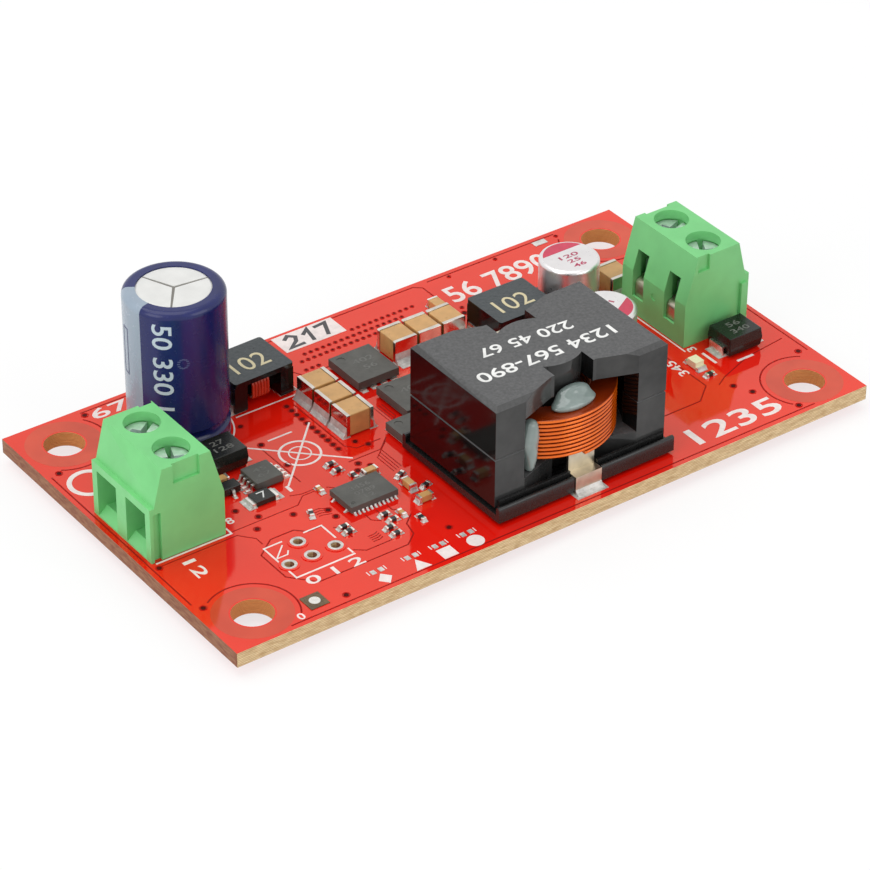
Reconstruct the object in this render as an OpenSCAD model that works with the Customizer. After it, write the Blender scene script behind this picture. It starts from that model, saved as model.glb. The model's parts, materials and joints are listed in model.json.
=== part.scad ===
// Step-down converter module: one circuit board that carries an input and an output
// terminal block with rising clamp cages, a bulk capacitor, a ferrite power inductor
// wound with flat wire on edge, two chokes, and the switching and control parts.
//
// Frame: the origin is at the middle of the four mounting holes, on the underside of
// the board. X runs from the input end to the output end, and Z points up.

/* [Board] */
// Length of the board
board_l = 75; // [74.5:0.5:90]
// Width of the board
board_w = 41.7; // [41:0.1:55]
// Thickness of the board
board_t = 1.6; // [1:0.1:2.4]
// Radius of the board's corners
board_r = 1.3; // [0.5:0.1:3]
// Diameter of the mounting holes
hole_d = 4.1; // [3:0.1:4.5]
// Distance from a mounting hole's centre to the end of the board
hole_inset_x = 4.5; // [3.8:0.1:5.5]
// Distance from a mounting hole's centre to the side of the board
hole_inset_y = 4.25; // [3.5:0.05:6]
// Thickness of the tinned pads
pad_t = 0.06; // [0.03:0.01:0.1]
// Length of the lead tails below the board
tail_l = 1.2; // [0.8:0.1:2]
// Clearance of a lead in its hole, all round
lead_gap = 0.15; // [0.1:0.05:0.3]

/* [Terminal blocks] */
// Width of a block, across its two poles
block_w = 10.16; // [10.1:0.02:12]
// Depth of a block, from its wire face to its rear face
block_d = 8.2; // [8:0.1:10]
// Height of a block
block_h = 10.1; // [9.8:0.1:12]
// Distance from the input end of the board to the input block's wire face
input_inset = 0.95; // [0:0.05:2]
// Distance from the output end of the board to the output block's wire face
output_inset = 2.45; // [1.5:0.05:3]
// Distance between the two poles
pole_pitch = 5.08; // [5:0.01:5.1]
// Height of the upright part of the wire face
face_h = 6.1; // [5.6:0.1:7]
// Height of the upright part of the rear face
rear_h = 5; // [4:0.1:6]
// Width of the flat top
top_l = 5.3; // [5:0.1:5.6]
// Width of a wire entry
entry_w = 3.4; // [2.6:0.1:3.6]
// Height of the floor of a wire entry
entry_z = 1; // [0.8:0.05:1.2]
// Height of a wire entry
entry_h = 4.25; // [3:0.05:4.5]
// Diameter of the screwdriver hole
driver_d = 3.6; // [3:0.05:3.65]
// Diameter of the screw's head
head_d = 3.7; // [3.66:0.01:3.8]
// Diameter of the screw's thread
screw_d = 2.9; // [2.4:0.05:2.95]
// Depth of the screw's head below the top
head_drop = 1.2; // [1.1:0.05:1.4]
// Outer width of a clamp cage
cage_w = 3.7; // [3.4:0.05:3.75]
// Depth of a clamp cage, along the wire
cage_d = 3.2; // [2.6:0.1:3.3]
// Thickness of the cage's floor and sides
cage_wall = 0.6; // [0.45:0.05:0.65]
// Thickness of the cage's threaded top
cage_top = 1.1; // [0.8:0.05:1.2]
// Travel of a cage from open to clamped
cage_travel = 2; // [1.6:0.1:2]
// Height of the contact bar's underside above the board
bar_z = 3.3; // [3.25:0.05:3.4]
// Thickness of the contact strip
strip_t = 0.7; // [0.5:0.05:0.75]
// Width of the contact's leg
leg_w = 1.6; // [1.2:0.05:1.6]

/* [Bulk capacitor] */
// Diameter over the sleeve
bulk_d = 10.1; // [9:0.1:10.2]
// Height of the capacitor
bulk_h = 16.7; // [12:0.1:25]
// Thickness of the shrink sleeve
sleeve_t = 0.15; // [0.1:0.01:0.25]
// Diameter of the bare disc on top
disc_d = 7.4; // [6:0.1:8]
// Distance between the leads
bulk_pitch = 5; // [4:0.1:5.5]
// Diameter of the leads
bulk_lead_d = 0.6; // [0.5:0.05:0.8]

/* [Power inductor] */
// Length of the ferrite core
core_l = 20.4; // [20:0.1:22]
// Width of the ferrite core
core_w = 13.7; // [13.5:0.1:14]
// Height of the two ferrite halves together
core_h = 11.6; // [11.2:0.1:14]
// Thickness of the ferrite's plates
core_plate = 2.4; // [2:0.1:2.5]
// Diameter of the centre post
post_d = 8.2; // [7.5:0.1:8.6]
// Gap between the two halves of the post
post_gap = 0.5; // [0.2:0.1:1]
// Outer diameter of the coil
coil_d = 15.2; // [14.6:0.1:15.4]
// Width of the flat wire, across the turn
wire_w = 2.7; // [2:0.1:2.8]
// Thickness of the flat wire
wire_t = 0.36; // [0.25:0.01:0.4]
// Rise of one turn
coil_pitch = 0.444; // [0.42:0.002:0.46]
// Number of turns
coil_turns = 10.5; // [8.5:1:10.5]
// Steps in one turn of the coil
coil_steps = 36; // [24:4:48]
// Length of the moulded base
base_l = 21.1; // [20.8:0.1:23]
// Width of the moulded base
base_w = 15.7; // [15.6:0.1:16]
// Thickness of the base's plate
base_t = 0.75; // [0.5:0.05:1]
// Height of the bars along the base, above its plate
bar_h = 0.9; // [0.7:0.05:1.1]
// Width of the tinned clips
clip_w = 3.1; // [2.6:0.1:3.4]
// Thickness of the tinned clips
clip_t = 0.3; // [0.2:0.05:0.35]

/* [Chokes] */
// Length of a choke
choke_l = 7; // [6.8:0.1:7.2]
// Width of a choke
choke_w = 5.8; // [5.6:0.1:6]
// Height of a choke
choke_h = 3.6; // [3.4:0.1:4.5]
// Thickness of the plate on top
choke_plate_t = 0.55; // [0.4:0.05:0.7]
// Length of each end block
choke_leg = 1.5; // [1.3:0.05:1.6]
// Thickness of the square wire
choke_wire = 0.36; // [0.25:0.01:0.38]
// Number of turns
choke_turns = 7; // [5:1:7]
// Rise of one turn
choke_pitch = 0.5; // [0.46:0.01:0.5]

/* [Chip parts] */
// Length of a large ceramic capacitor
ceramic_l = 3.2; // [3:0.05:3.3]
// Width of a large ceramic capacitor
ceramic_w = 2.7; // [2.5:0.05:2.8]
// Height of a large ceramic capacitor
ceramic_h = 2.5; // [1.6:0.1:2.8]
// Length of the plated ends of a large ceramic capacitor
ceramic_end = 0.42; // [0.3:0.02:0.6]
// Gap between large ceramic capacitors in a row
ceramic_gap = 0.3; // [0.15:0.05:0.35]
// Diameter of the polymer capacitors
can_d = 6.3; // [5.8:0.1:6.4]
// Height of the polymer capacitors
can_h = 5.9; // [5:0.1:7]
// Height of the power transistors
fet_h = 1.1; // [0.8:0.05:1.2]
// Length of the controller
control_l = 5.4; // [5.2:0.05:5.5]
// Width of the controller
control_w = 3.7; // [3.5:0.05:3.8]
// Height of the controller
control_h = 0.8; // [0.7:0.05:1]
// Height of the suppressor and of the output diode
diode_h = 2.2; // [1.9:0.1:2.6]

/* [Hidden] */

$fn = 48;
// Distance that a cutter runs past the face it cuts
past = 1;
// Slack between nested round pieces that are pressed or shrunk together
snug = 0.02;
// Room round a piece that slides or turns
run = 0.1;

// Colours
mask_red = [0.86, 0.13, 0.08];
tin = [0.8, 0.79, 0.76];
block_green = [0.36, 0.72, 0.42];
steel = [0.72, 0.73, 0.74];
ferrite = [0.13, 0.13, 0.14];
moulding = [0.12, 0.12, 0.12];
enamel = [0.85, 0.38, 0.08];
ceramic_tan = [0.79, 0.6, 0.36];

// Levels
top_z = board_t;
seat_z = board_t + pad_t;

// Mounting holes
hole_x = board_l/2 - hole_inset_x;
hole_y = board_w/2 - hole_inset_y;

// Terminal block, measured from its wire face and from the board's top
ledge = 0.5;
slope_l = 1;
screw_u = 4.15;
pole_y = pole_pitch/2;
bar_top = bar_z + strip_t;
cage_gap = run;
block_floor = 0.35;
cage_z = block_floor + cage_gap;
window_z = cage_z + cage_wall;
window_h = bar_top + cage_gap - window_z;
cage_h = cage_wall + window_h + cage_top;
cavity_top = cage_z + cage_h + cage_travel + 3*run;
cavity_w = cage_w + 3*run;
cavity_front = screw_u - cage_d/2 - 1.5*run;
leg_gap = run/2;
leg_set_back = 0.35;
leg_u = block_d - leg_set_back - strip_t;
bar_w = cage_w - 2*cage_wall - 3*run;
screw_tip = bar_top + run/2;
head_z = cavity_top + run;
head_top = block_h - head_drop;
head_bore = head_d + 2*run;
lip_z = head_top + 2*run;
input_u = -board_l/2 + input_inset;
output_u = board_l/2 - output_inset;
block_y = 0.1;
pin_w = 1;
pin_hole = sqrt(pin_w*pin_w + strip_t*strip_t) + lead_gap;

// Places of the parts, from the middle of the board. Those beside a terminal block
// keep their distance from that end of the board
input_end = -board_l/2;
output_end = board_l/2;
bulk_at = [-22.67, 12];
inductor_at = [3.65, -11.05];
input_choke_at = [-13.35, 13.9];
output_choke_at = [14.6, 7.8];
polymer_at = [[22.2, 8.15], [19.45, -1.45]];
row_1_at = [-8.45, 5.85];
row_2_at = [5.75, 11.1];
lone_ceramic_at = [27.85, 7.85];
fet_at = [[-2.1, 10.05], [-1.05, 3.2]];
small_fet_at = [-4.75, -1.4];
controller_at = [-14.3, -7.5];
amplifier_at = [input_end + 16.8, 0.45];
small_transistor_at = [input_end + 13.15, 0.55];
clamp_at = [input_end + 15, -2.3];
output_diode_at = [output_end - 6.05, -7.5];
light_at = [output_end - 11.7, -8.2];
trimmer_at = [[-26.15, -12.4], [-23.6, -12.4], [-20.95, -12.4], [-23.5, -9.9]];
test_pad_at = [input_end + 10.1, -18.4];
spare_pads = [[-20.1, -17.95], [-16.2, -17.95], [-13.05, -17.95], [-9.8, -17.95]];
lone_pads = [[2.3, 8.7], [27.3, 19.7]];
trimmer_hole = 0.95;
trimmer_ring = 1.9;

// Chip parts: length, width, height
chip_s = [1, 0.5, 0.35];
chip_m = [1.6, 0.8, 0.75];
chip_l = [2, 1.25, 0.95];
light_size = [2, 1.1, 0.8];
chip_end = 0.24;
fillet_l = 0.25;
pad_rim = 0.06;
resistor_spots = [[-14, -1.4, 0], [-14, -2.6, 0], [-13.2, -4.3, 90], [-20.1, -7.1, 70],
    [-9.5, -6.7, 20], [-8.5, -9.5, 15], [-18.8, -10.6, 0], [-18.8, -11.5, 0],
    [-14.5, -11.2, 0], [-14.3, -12.3, 0], [-15.3, -13.2, 0], [-15.3, -14.3, 0],
    [-11.95, -13.6, 90], [light_at[0] + 0.05, -10.4, 0]];
tiny_ceramic_spots = [[-17.2, -4.3, 90], [-13, -11.9, 90]];
small_ceramic_spots = [[-9.9, -8.7, 90], [-9.9, -11.3, 0], [-11.8, -4.85, 0],
    [small_transistor_at[0] + 0.05, 2.15, 0]];
output_small_ceramic = [10.8, 15.3, 90];

// Power inductor, measured from its middle and from its pads
clip_z = clip_t;
plate_top = clip_z + base_t;
half_h = core_h/2;
split_z = plate_top + half_h;
leg_depth = 3.45;
leg_in = core_l/2 - leg_depth;
leg_arc_d = coil_d + 1.2;
bevel = 0.45;
split_bevel = 0.12;
coil_rise = 0.45;
coil_z = plate_top + core_plate + coil_rise;
coil_top = coil_z + coil_pitch*coil_turns + wire_t;
notch_w = 6.7;
notch_in = 2.7;
notch_step = 2.3;
notch_d = 1.45;
base_bar = 0.5;
rim_h = 1.3;
rim_t = 0.3;
clip_x = 0.2;
clip_gap = 0.1;

// Chokes, measured from their middle and from their pads
choke_foot = 0.12;
choke_side_h = choke_h - choke_plate_t - choke_foot;
choke_span = choke_l - 2*choke_leg;
choke_bar = [3.2, 1.3];
choke_wind = [4.7, 2.36];
choke_turn = 1.5;

// Moulded diodes: length and width of the body, and the leads
diode_size = [4.3, 3.6];
lead_t = 0.2;
diode_lead_w = 2;

// Suppressor: it sits just in front of the bulk capacitor
part_gap = 0.3;
suppressor_at = [input_end + 14.95, bulk_at[1] - bulk_d/2 - part_gap - diode_size[1]/2];

// ---------- shared shapes ----------

module rounded_rect(l, w, r) {
    square([l - 2*r, w], center = true);
    square([l, w - 2*r], center = true);
    for (x = [-1, 1], y = [-1, 1])
        translate([x*(l/2 - r), y*(w/2 - r)])
            circle(r);
}

// Outline drawn in X and Z, run along Y over the width w about the middle
module along_y(w) {
    translate([0, w/2, 0])
        rotate([90, 0, 0])
            linear_extrude(w)
                children();
}

module block_at_input() {
    translate([input_u, block_y, top_z])
        children();
}

module block_at_output() {
    translate([output_u, block_y, top_z])
        rotate([0, 0, 180])
            children();
}

module at_poles() {
    for (side = [-1, 1])
        translate([0, side*pole_y, 0])
            children();
}

module seat(spot, turn = 0) {
    translate([spot[0], spot[1], seat_z])
        rotate([0, 0, turn])
            children();
}

// Centres of a row of parts that stand side by side along one axis
function row_spots(middle, pitch, axis) =
    [for (i = [-1, 0, 1]) [middle[0] + i*pitch*axis[0], middle[1] + i*pitch*axis[1]]];

ceramic_pitch = ceramic_w + ceramic_gap;
row_1 = row_spots(row_1_at, ceramic_pitch, [0, 1]);
row_2 = row_spots(row_2_at, ceramic_pitch, [1, 0]);
ceramic_size = [ceramic_l, ceramic_w, ceramic_h];

module ceramic_places() {
    for (p = row_1) seat(p) children();
    for (p = row_2) seat(p, 90) children();
    seat(lone_ceramic_at, 90) children();
}

module chip_places(spots) {
    for (s = spots) seat(s, s[2]) children();
}

// Body of a chip part, between its plated ends
module chip_body(size, end_l, wrap = 0.03) {
    translate([-size[0]/2 + end_l, -size[1]/2 + wrap, wrap])
        cube([size[0] - 2*end_l, size[1] - 2*wrap, size[2] - 2*wrap]);
}

module chip_ends(size, end_l) {
    for (side = [-1, 1])
        translate([side*(size[0] - end_l)/2 - end_l/2, -size[1]/2, 0])
            cube([end_l, size[1], size[2]]);
}

// Pads under the ends of a chip part, reaching out past them for the solder
module chip_pads(size, end_l, reach) {
    for (side = [0, 180])
        rotate([0, 0, side])
            translate([size[0]/2 - end_l, -size[1]/2 - pad_rim, -pad_t])
                cube([end_l + reach, size[1] + 2*pad_rim, pad_t]);
}

module wedge(reach, height, width) {
    along_y(width)
        polygon([[0, 0], [reach, 0], [reach*0.35, height*0.4], [0, height]]);
}

module chip_fillets(size, reach, height) {
    for (side = [0, 180])
        rotate([0, 0, side])
            translate([size[0]/2, 0, 0])
                wedge(reach, height, size[1]);
}

// ---------- circuit board ----------

module mounting_holes() {
    for (x = [-1, 1], y = [-1, 1])
        translate([x*hole_x, y*hole_y])
            circle(d = hole_d);
}

module lead_holes() {
    for (x = [input_u + leg_u + strip_t/2, output_u - leg_u - strip_t/2], side = [-1, 1])
        translate([x, block_y + side*pole_y])
            circle(d = pin_hole);
    for (side = [-1, 1])
        translate([bulk_at[0] + side*bulk_pitch/2, bulk_at[1]])
            circle(d = bulk_lead_d + 2*lead_gap);
    for (p = trimmer_at)
        translate(p)
            circle(d = trimmer_hole);
}

module circuit_board() {
    color(mask_red)
        linear_extrude(board_t)
            difference() {
                rounded_rect(board_l, board_w, board_r);
                mounting_holes();
                lead_holes();
            }
}

module ring(d, hole) {
    difference() {
        cylinder(h = pad_t, d = d);
        translate([0, 0, -past])
            cylinder(h = pad_t + 2*past, d = hole);
    }
}

module bare_pads() {
    for (p = trimmer_at)
        translate([p[0], p[1], top_z])
            ring(trimmer_ring, trimmer_hole);
    translate([test_pad_at[0] - 1, test_pad_at[1] - 1, top_z])
        cube([2, 2, pad_t]);
    for (p = spare_pads, side = [-1, 1])
        translate([p[0] + side*0.45 - 0.25, p[1] - 0.3, top_z])
            cube([0.5, 0.6, pad_t]);
    for (p = lone_pads)
        translate([p[0] - 0.8, p[1] - 0.4, top_z])
            cube([1.6, 0.8, pad_t]);
}

module solder_pads() {
    color(tin) {
        bare_pads();
        ceramic_places() chip_pads(ceramic_size, ceramic_end, 2*fillet_l);
        chip_places(resistor_spots) chip_pads(chip_s, chip_end, fillet_l);
        chip_places(tiny_ceramic_spots) chip_pads(chip_s, chip_end, fillet_l);
        chip_places(small_ceramic_spots) chip_pads(chip_m, chip_end, fillet_l);
        chip_places([output_small_ceramic]) chip_pads(chip_l, chip_end, fillet_l);
        seat(light_at, 90) chip_pads(light_size, chip_end, fillet_l);
        seat(clamp_at) chip_pads(clamp_size, clamp_end, 2*fillet_l);
        seat(input_choke_at, choke_turn) choke_pads();
        seat(output_choke_at) choke_pads();
        seat(suppressor_at) diode_pads();
        seat(output_diode_at) diode_pads();
        for (p = polymer_at) seat(p, 90) can_pads();
        for (p = fet_at) seat(p) fet_pads(fet_size);
        seat(small_fet_at) fet_pads(small_fet_size);
        seat(controller_at) controller_pads();
        seat(amplifier_at) amplifier_places() gull_pad(amplifier_out);
        seat(small_transistor_at, 90) sot_places() gull_pad(transistor_out);
        seat(inductor_at) inductor_pads();
    }
}

// Solder cone under the board round a round or square lead
module joint_cone(cone_d) {
    translate([0, 0, -tail_l*0.75])
        cylinder(h = tail_l*0.75, d1 = cone_d*0.45, d2 = cone_d);
}

module lead_cones() {
    difference() {
        union() {
            block_at_input() at_poles() pin_cone();
            block_at_output() at_poles() pin_cone();
        }
        terminal_contacts_at_input();
        terminal_contacts_at_output();
    }
    difference() {
        for (side = [-1, 1])
            translate([bulk_at[0] + side*bulk_pitch/2, bulk_at[1], 0])
                joint_cone(bulk_lead_d + 1.3);
        bulk_capacitor_lead_pair();
    }
}

module pin_cone() {
    translate([leg_u + strip_t/2, 0, -top_z])
        joint_cone(pin_hole + 1.3);
}

module solder_joints() {
    color(tin) {
        lead_cones();
        ceramic_places() chip_fillets(ceramic_size, 2*fillet_l, 1.1);
        chip_places(resistor_spots) chip_fillets(chip_s, fillet_l, 0.25);
        chip_places(tiny_ceramic_spots) chip_fillets(chip_s, fillet_l, 0.25);
        chip_places(small_ceramic_spots) chip_fillets(chip_m, fillet_l, 0.4);
        chip_places([output_small_ceramic]) chip_fillets(chip_l, fillet_l, 0.5);
        seat(light_at, 90) chip_fillets(light_size, fillet_l, 0.4);
        seat(clamp_at) chip_fillets(clamp_size, 2*fillet_l, 0.25);
        seat(input_choke_at, choke_turn) choke_fillets();
        seat(output_choke_at) choke_fillets();
        seat(controller_at) controller_fillets();
        seat(inductor_at) inductor_fillets();
    }
}

// ---------- terminal blocks ----------

// Side view of the block: ledge above the wire face, sloped front and rear
module block_profile() {
    polygon([[0, 0], [0, face_h], [ledge, face_h], [ledge + slope_l, block_h],
        [ledge + slope_l + top_l, block_h], [block_d, rear_h], [block_d, 0]]);
}

// Wire entry with its floor sloped down to the front edge
module wire_entry() {
    along_y(entry_w)
        polygon([[-past, entry_z - 0.85 - past*0.9], [0, entry_z - 0.85], [0.95, entry_z],
            [cavity_front + past, entry_z], [cavity_front + past, entry_z + entry_h],
            [-past, entry_z + entry_h]]);
}

module cage_cavity() {
    translate([cavity_front, -cavity_w/2, block_floor])
        cube([leg_u - cavity_front, cavity_w, cavity_top - block_floor]);
}

module screw_bores() {
    translate([screw_u, 0, cavity_top - past])
        cylinder(h = lip_z - cavity_top + past, d = head_bore);
    translate([screw_u, 0, lip_z - past])
        cylinder(h = block_h - lip_z + 2*past, d = driver_d);
}

slot_z = 2;
slot_top = 7.3;
slot_w = 1.75;

// Channel for the contact's leg, open to the rear between two heights
module leg_channel() {
    translate([leg_u - leg_gap, -slot_w/2, -past])
        cube([strip_t + 2*leg_gap, slot_w, slot_top + past]);
    translate([leg_u - leg_gap, -slot_w/2, slot_z])
        cube([block_d, slot_w, slot_top - slot_z]);
}

groove_u = 0.35;
groove_w = 0.85;
groove_h = 5.4;
groove_d = 0.4;

module terminal_housing() {
    difference() {
        union() {
            along_y(block_w)
                block_profile();
            // rib that keys into the next block's groove
            translate([groove_u + run/2, block_w/2 - past, 0])
                cube([groove_w - run, groove_d - run/2 + past, groove_h - run]);
        }
        at_poles() {
            wire_entry();
            cage_cavity();
            screw_bores();
            leg_channel();
        }
        // groove and sunk panel on one end, small notch on the other
        translate([groove_u, -block_w/2 - past, -past])
            cube([groove_w, groove_d + past, groove_h + past]);
        translate([screw_u - 1.45, -block_w/2 - past, block_h - 2.05])
            cube([2.9, 0.3 + past, 2.05 + past]);
        translate([ledge + slope_l + top_l - 1.5, block_w/2 - 0.3, block_h - 1.7])
            cube([1.45, 0.3 + past, 1.7 + past]);
        // ejector mark
        translate([block_d - 0.1, 0, 3.5])
            rotate([0, 90, 0])
                cylinder(h = past, d = 0.8);
    }
}

// Contact strip: a bar across the cage, bent down to the leg and the solder pin
module terminal_contact() {
    bar_u = screw_u - cage_d/2 + run/2;
    neck_u = leg_u - 2.5*run;
    translate([bar_u, -bar_w/2, bar_z])
        cube([neck_u - bar_u, bar_w, strip_t]);
    along_y(leg_w)
        difference() {
            translate([neck_u, entry_z])
                square([leg_u + strip_t - neck_u, bar_top - entry_z]);
            translate([neck_u - past, entry_z - past])
                square([leg_u - neck_u + past, bar_z - entry_z + past]);
            difference() {
                translate([leg_u, bar_z])
                    square(strip_t + past);
                translate([leg_u, bar_z])
                    circle(strip_t);
            }
        }
    translate([leg_u, -leg_w/2, 0])
        cube([strip_t, leg_w, entry_z]);
    translate([leg_u, -pin_w/2, -top_z - tail_l])
        cube([strip_t, pin_w, top_z + tail_l]);
}

module terminal_contacts_at_input() {
    block_at_input() at_poles() terminal_contact();
}

module terminal_contacts_at_output() {
    block_at_output() at_poles() terminal_contact();
}

// Clamp screw with a slotted and crossed head
module clamp_screw(turn) {
    translate([screw_u, 0, 0])
        rotate([0, 0, turn])
            difference() {
                union() {
                    translate([0, 0, screw_tip])
                        cylinder(h = head_z - screw_tip + 0.01, d = screw_d);
                    translate([0, 0, head_z])
                        cylinder(h = head_top - head_z, d = head_d);
                }
                translate([0, 0, head_top - 0.8 + past/2])
                    cube([head_d + past, 0.6, 1.6 - 0.8 + past], center = true);
                translate([0, 0, head_top - 0.8 + past/2])
                    cube([0.6, head_d*0.65, 1.6 - 0.8 + past], center = true);
            }
}

// Clamp cage: a folded box with rounded corners and a threaded top
module clamp_cage() {
    translate([screw_u, 0, cage_z])
        difference() {
            translate([-cage_d/2, 0, cage_h/2])
                rotate([90, 0, 90])
                    linear_extrude(cage_d)
                        rounded_rect(cage_w, cage_h, 0.4);
            translate([-cage_d/2 - past, -cage_w/2 + cage_wall, cage_wall])
                cube([cage_d + 2*past, cage_w - 2*cage_wall, window_h]);
            translate([0, 0, cage_wall])
                cylinder(h = cage_h + past, d = screw_d + run);
        }
}

module input_terminal_housing() {
    color(block_green)
        block_at_input()
            terminal_housing();
}

module input_terminal_contacts() {
    color(tin)
        terminal_contacts_at_input();
}

module output_terminal_housing() {
    color(block_green)
        block_at_output()
            terminal_housing();
}

module output_terminal_contacts() {
    color(tin)
        terminal_contacts_at_output();
}

screw_turns = [35, 70, 20, 60];

module input_screw(side, turn) {
    color(steel)
        block_at_input()
            translate([0, side*pole_y, 0])
                clamp_screw(turn);
}

module input_cage(side) {
    color(steel)
        block_at_input()
            translate([0, side*pole_y, 0])
                clamp_cage();
}

module output_screw(side, turn) {
    color(steel)
        block_at_output()
            translate([0, side*pole_y, 0])
                clamp_screw(turn);
}

module output_cage(side) {
    color(steel)
        block_at_output()
            translate([0, side*pole_y, 0])
                clamp_cage();
}

// ---------- bulk capacitor ----------

can_r = bulk_d/2 - sleeve_t - snug;
crimp_z = 2.4;
crimp_r = 0.9;
seal_h = 1.3;
seal_r = can_r - 0.45;
shoulder = 0.7;

// Half section of the can, grown outwards by g, from height z0 to z1
module can_section(g, z0, z1) {
    difference() {
        union() {
            translate([0, z0])
                square([can_r + g, z1 + g - shoulder - z0]);
            translate([0, z1 + g - shoulder - 0.01])
                square([can_r + g - shoulder, shoulder + 0.01]);
            translate([can_r + g - shoulder, z1 + g - shoulder])
                circle(shoulder);
        }
        translate([can_r + crimp_r*0.55, crimp_z])
            circle(crimp_r - g);
        translate([-past - bulk_d, z0 - past])
            square([bulk_d + past, z1 + 4*past]);
    }
}

module bulk_capacitor_can() {
    can_top = bulk_h - sleeve_t - snug;
    color(steel)
        translate([bulk_at[0], bulk_at[1], top_z])
            difference() {
                rotate_extrude()
                    can_section(0, 0.2, can_top);
                translate([0, 0, -past])
                    cylinder(h = seal_h + past, r = seal_r + snug);
                // relief cuts in the shape of a Y
                for (a = [60, 180, 270])
                    rotate([0, 0, a + 15])
                        translate([0, -0.13, can_top - 0.15])
                            cube([disc_d*0.42, 0.26, past]);
            }
}

module bulk_capacitor_sleeve() {
    can_top = bulk_h - sleeve_t - snug;
    color([0.1, 0.12, 0.35])
        translate([bulk_at[0], bulk_at[1], top_z])
            difference() {
                rotate_extrude()
                    can_section(sleeve_t + snug, 0, can_top);
                rotate_extrude()
                    can_section(snug, -past, can_top);
                translate([0, 0, can_top - past])
                    cylinder(h = 3*past, d = disc_d);
            }
}

module bulk_capacitor_seal() {
    color(moulding)
        translate([bulk_at[0], bulk_at[1], top_z])
            difference() {
                cylinder(h = seal_h, r = seal_r);
                for (side = [-1, 1])
                    translate([side*bulk_pitch/2, 0, -past])
                        cylinder(h = seal_h + 2*past, d = bulk_lead_d + 2*snug);
            }
}

module bulk_capacitor_lead_pair() {
    for (side = [-1, 1])
        translate([bulk_at[0] + side*bulk_pitch/2, bulk_at[1], -tail_l])
            cylinder(h = tail_l + top_z + seal_h, d = bulk_lead_d);
}

module bulk_capacitor_leads() {
    color(tin)
        bulk_capacitor_lead_pair();
}

// ---------- power inductor ----------

// Keyhole-shaped notch in the long sides of the ferrite plates
module plate_notches() {
    for (a = [0, 180])
        rotate([0, 0, a])
            difference() {
                polygon([[-notch_w, -core_w/2 - past], [-notch_w, -core_w/2],
                    [-notch_in, -core_w/2 + notch_d], [-notch_step, -core_w/2 + notch_d],
                    [-notch_step, 0], [notch_step, 0],
                    [notch_step, -core_w/2 + notch_d], [notch_in, -core_w/2 + notch_d],
                    [notch_w, -core_w/2], [notch_w, -core_w/2 - past]]);
                circle(d = post_d + 0.3);
            }
}

// Ferrite half with its plate on top and its legs and post reaching down to the split
module core_half() {
    intersection() {
        difference() {
            translate([-core_l/2, -core_w/2, 0])
                cube([core_l, core_w, half_h]);
            // window between the legs, rounded to clear the coil
            translate([0, 0, -past])
                linear_extrude(half_h - core_plate + past)
                    difference() {
                        union() {
                            square([2*leg_in, core_w + 2*past], center = true);
                            circle(d = leg_arc_d);
                        }
                        circle(d = post_d);
                    }
            translate([0, 0, -past])
                cylinder(h = past + post_gap/2, d = post_d + run);
            translate([0, 0, half_h - core_plate - past])
                linear_extrude(core_plate + 2*past)
                    plate_notches();
        }
        // bevelled edges along the length and across the ends
        along_y(core_w + 2*past)
            bevelled_profile(core_l);
        rotate([0, 0, 90])
            along_y(core_l + 2*past)
                bevelled_profile(core_w);
    }
}

module bevelled_profile(w) {
    polygon([[-w/2 + split_bevel, 0], [-w/2, split_bevel], [-w/2, half_h - bevel],
        [-w/2 + bevel, half_h], [w/2 - bevel, half_h], [w/2, half_h - bevel],
        [w/2, split_bevel], [w/2 - split_bevel, 0]]);
}

module inductor_upper_core() {
    color(ferrite)
        seat(inductor_at)
            translate([0, 0, split_z])
                core_half();
}

module inductor_lower_core() {
    color(ferrite)
        seat(inductor_at)
            translate([0, 0, split_z])
                mirror([0, 0, 1])
                    core_half();
}

// Signed power, which squares up a round path
function spow(v, e) = sign(v)*pow(abs(v), e);

// Point of a turn at angle a, with half sizes r and squareness e
function turn_point(r, a, e) = [r[0]*spow(cos(a), e), r[1]*spow(sin(a), e)];

// Flat strip wound on edge into a helix, from half sizes r_in to r_out
module helix(r_in, r_out, strip_w, rise, turns, steps, e = 1) {
    count = ceil(turns*steps);
    points = [for (i = [0:count])
        let (a = 360*i/steps, z = rise*i/steps, p = turn_point(r_in, a, e), q = turn_point(r_out, a, e))
            each [[p[0], p[1], z], [q[0], q[1], z], [q[0], q[1], z + strip_w], [p[0], p[1], z + strip_w]]];
    sides = [for (i = [0:count - 1], k = [0:3])
        let (m = 4*i, n = (k + 1)%4)
            each [[m + k, m + n, m + 4 + n], [m + k, m + 4 + n, m + 4 + k]]];
    last = 4*count;
    polyhedron(points, concat(sides, [[3, 2, 1, 0], [last, last + 1, last + 2, last + 3]]));
}

module inductor_coil() {
    r_out = coil_d/2;
    r_in = r_out - wire_w;
    color(enamel)
        seat(inductor_at)
            translate([0, 0, coil_z])
                rotate([0, 0, -90])
                    helix([r_in, r_in], [r_out, r_out], wire_t, coil_pitch, coil_turns, coil_steps);
}

// Rounded bar along the base, drawn in Y and Z
module base_bar_profile() {
    square([base_bar, plate_top - clip_z + bar_h - base_bar/2]);
    translate([base_bar/2, plate_top - clip_z + bar_h - base_bar/2])
        circle(d = base_bar);
}

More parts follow.
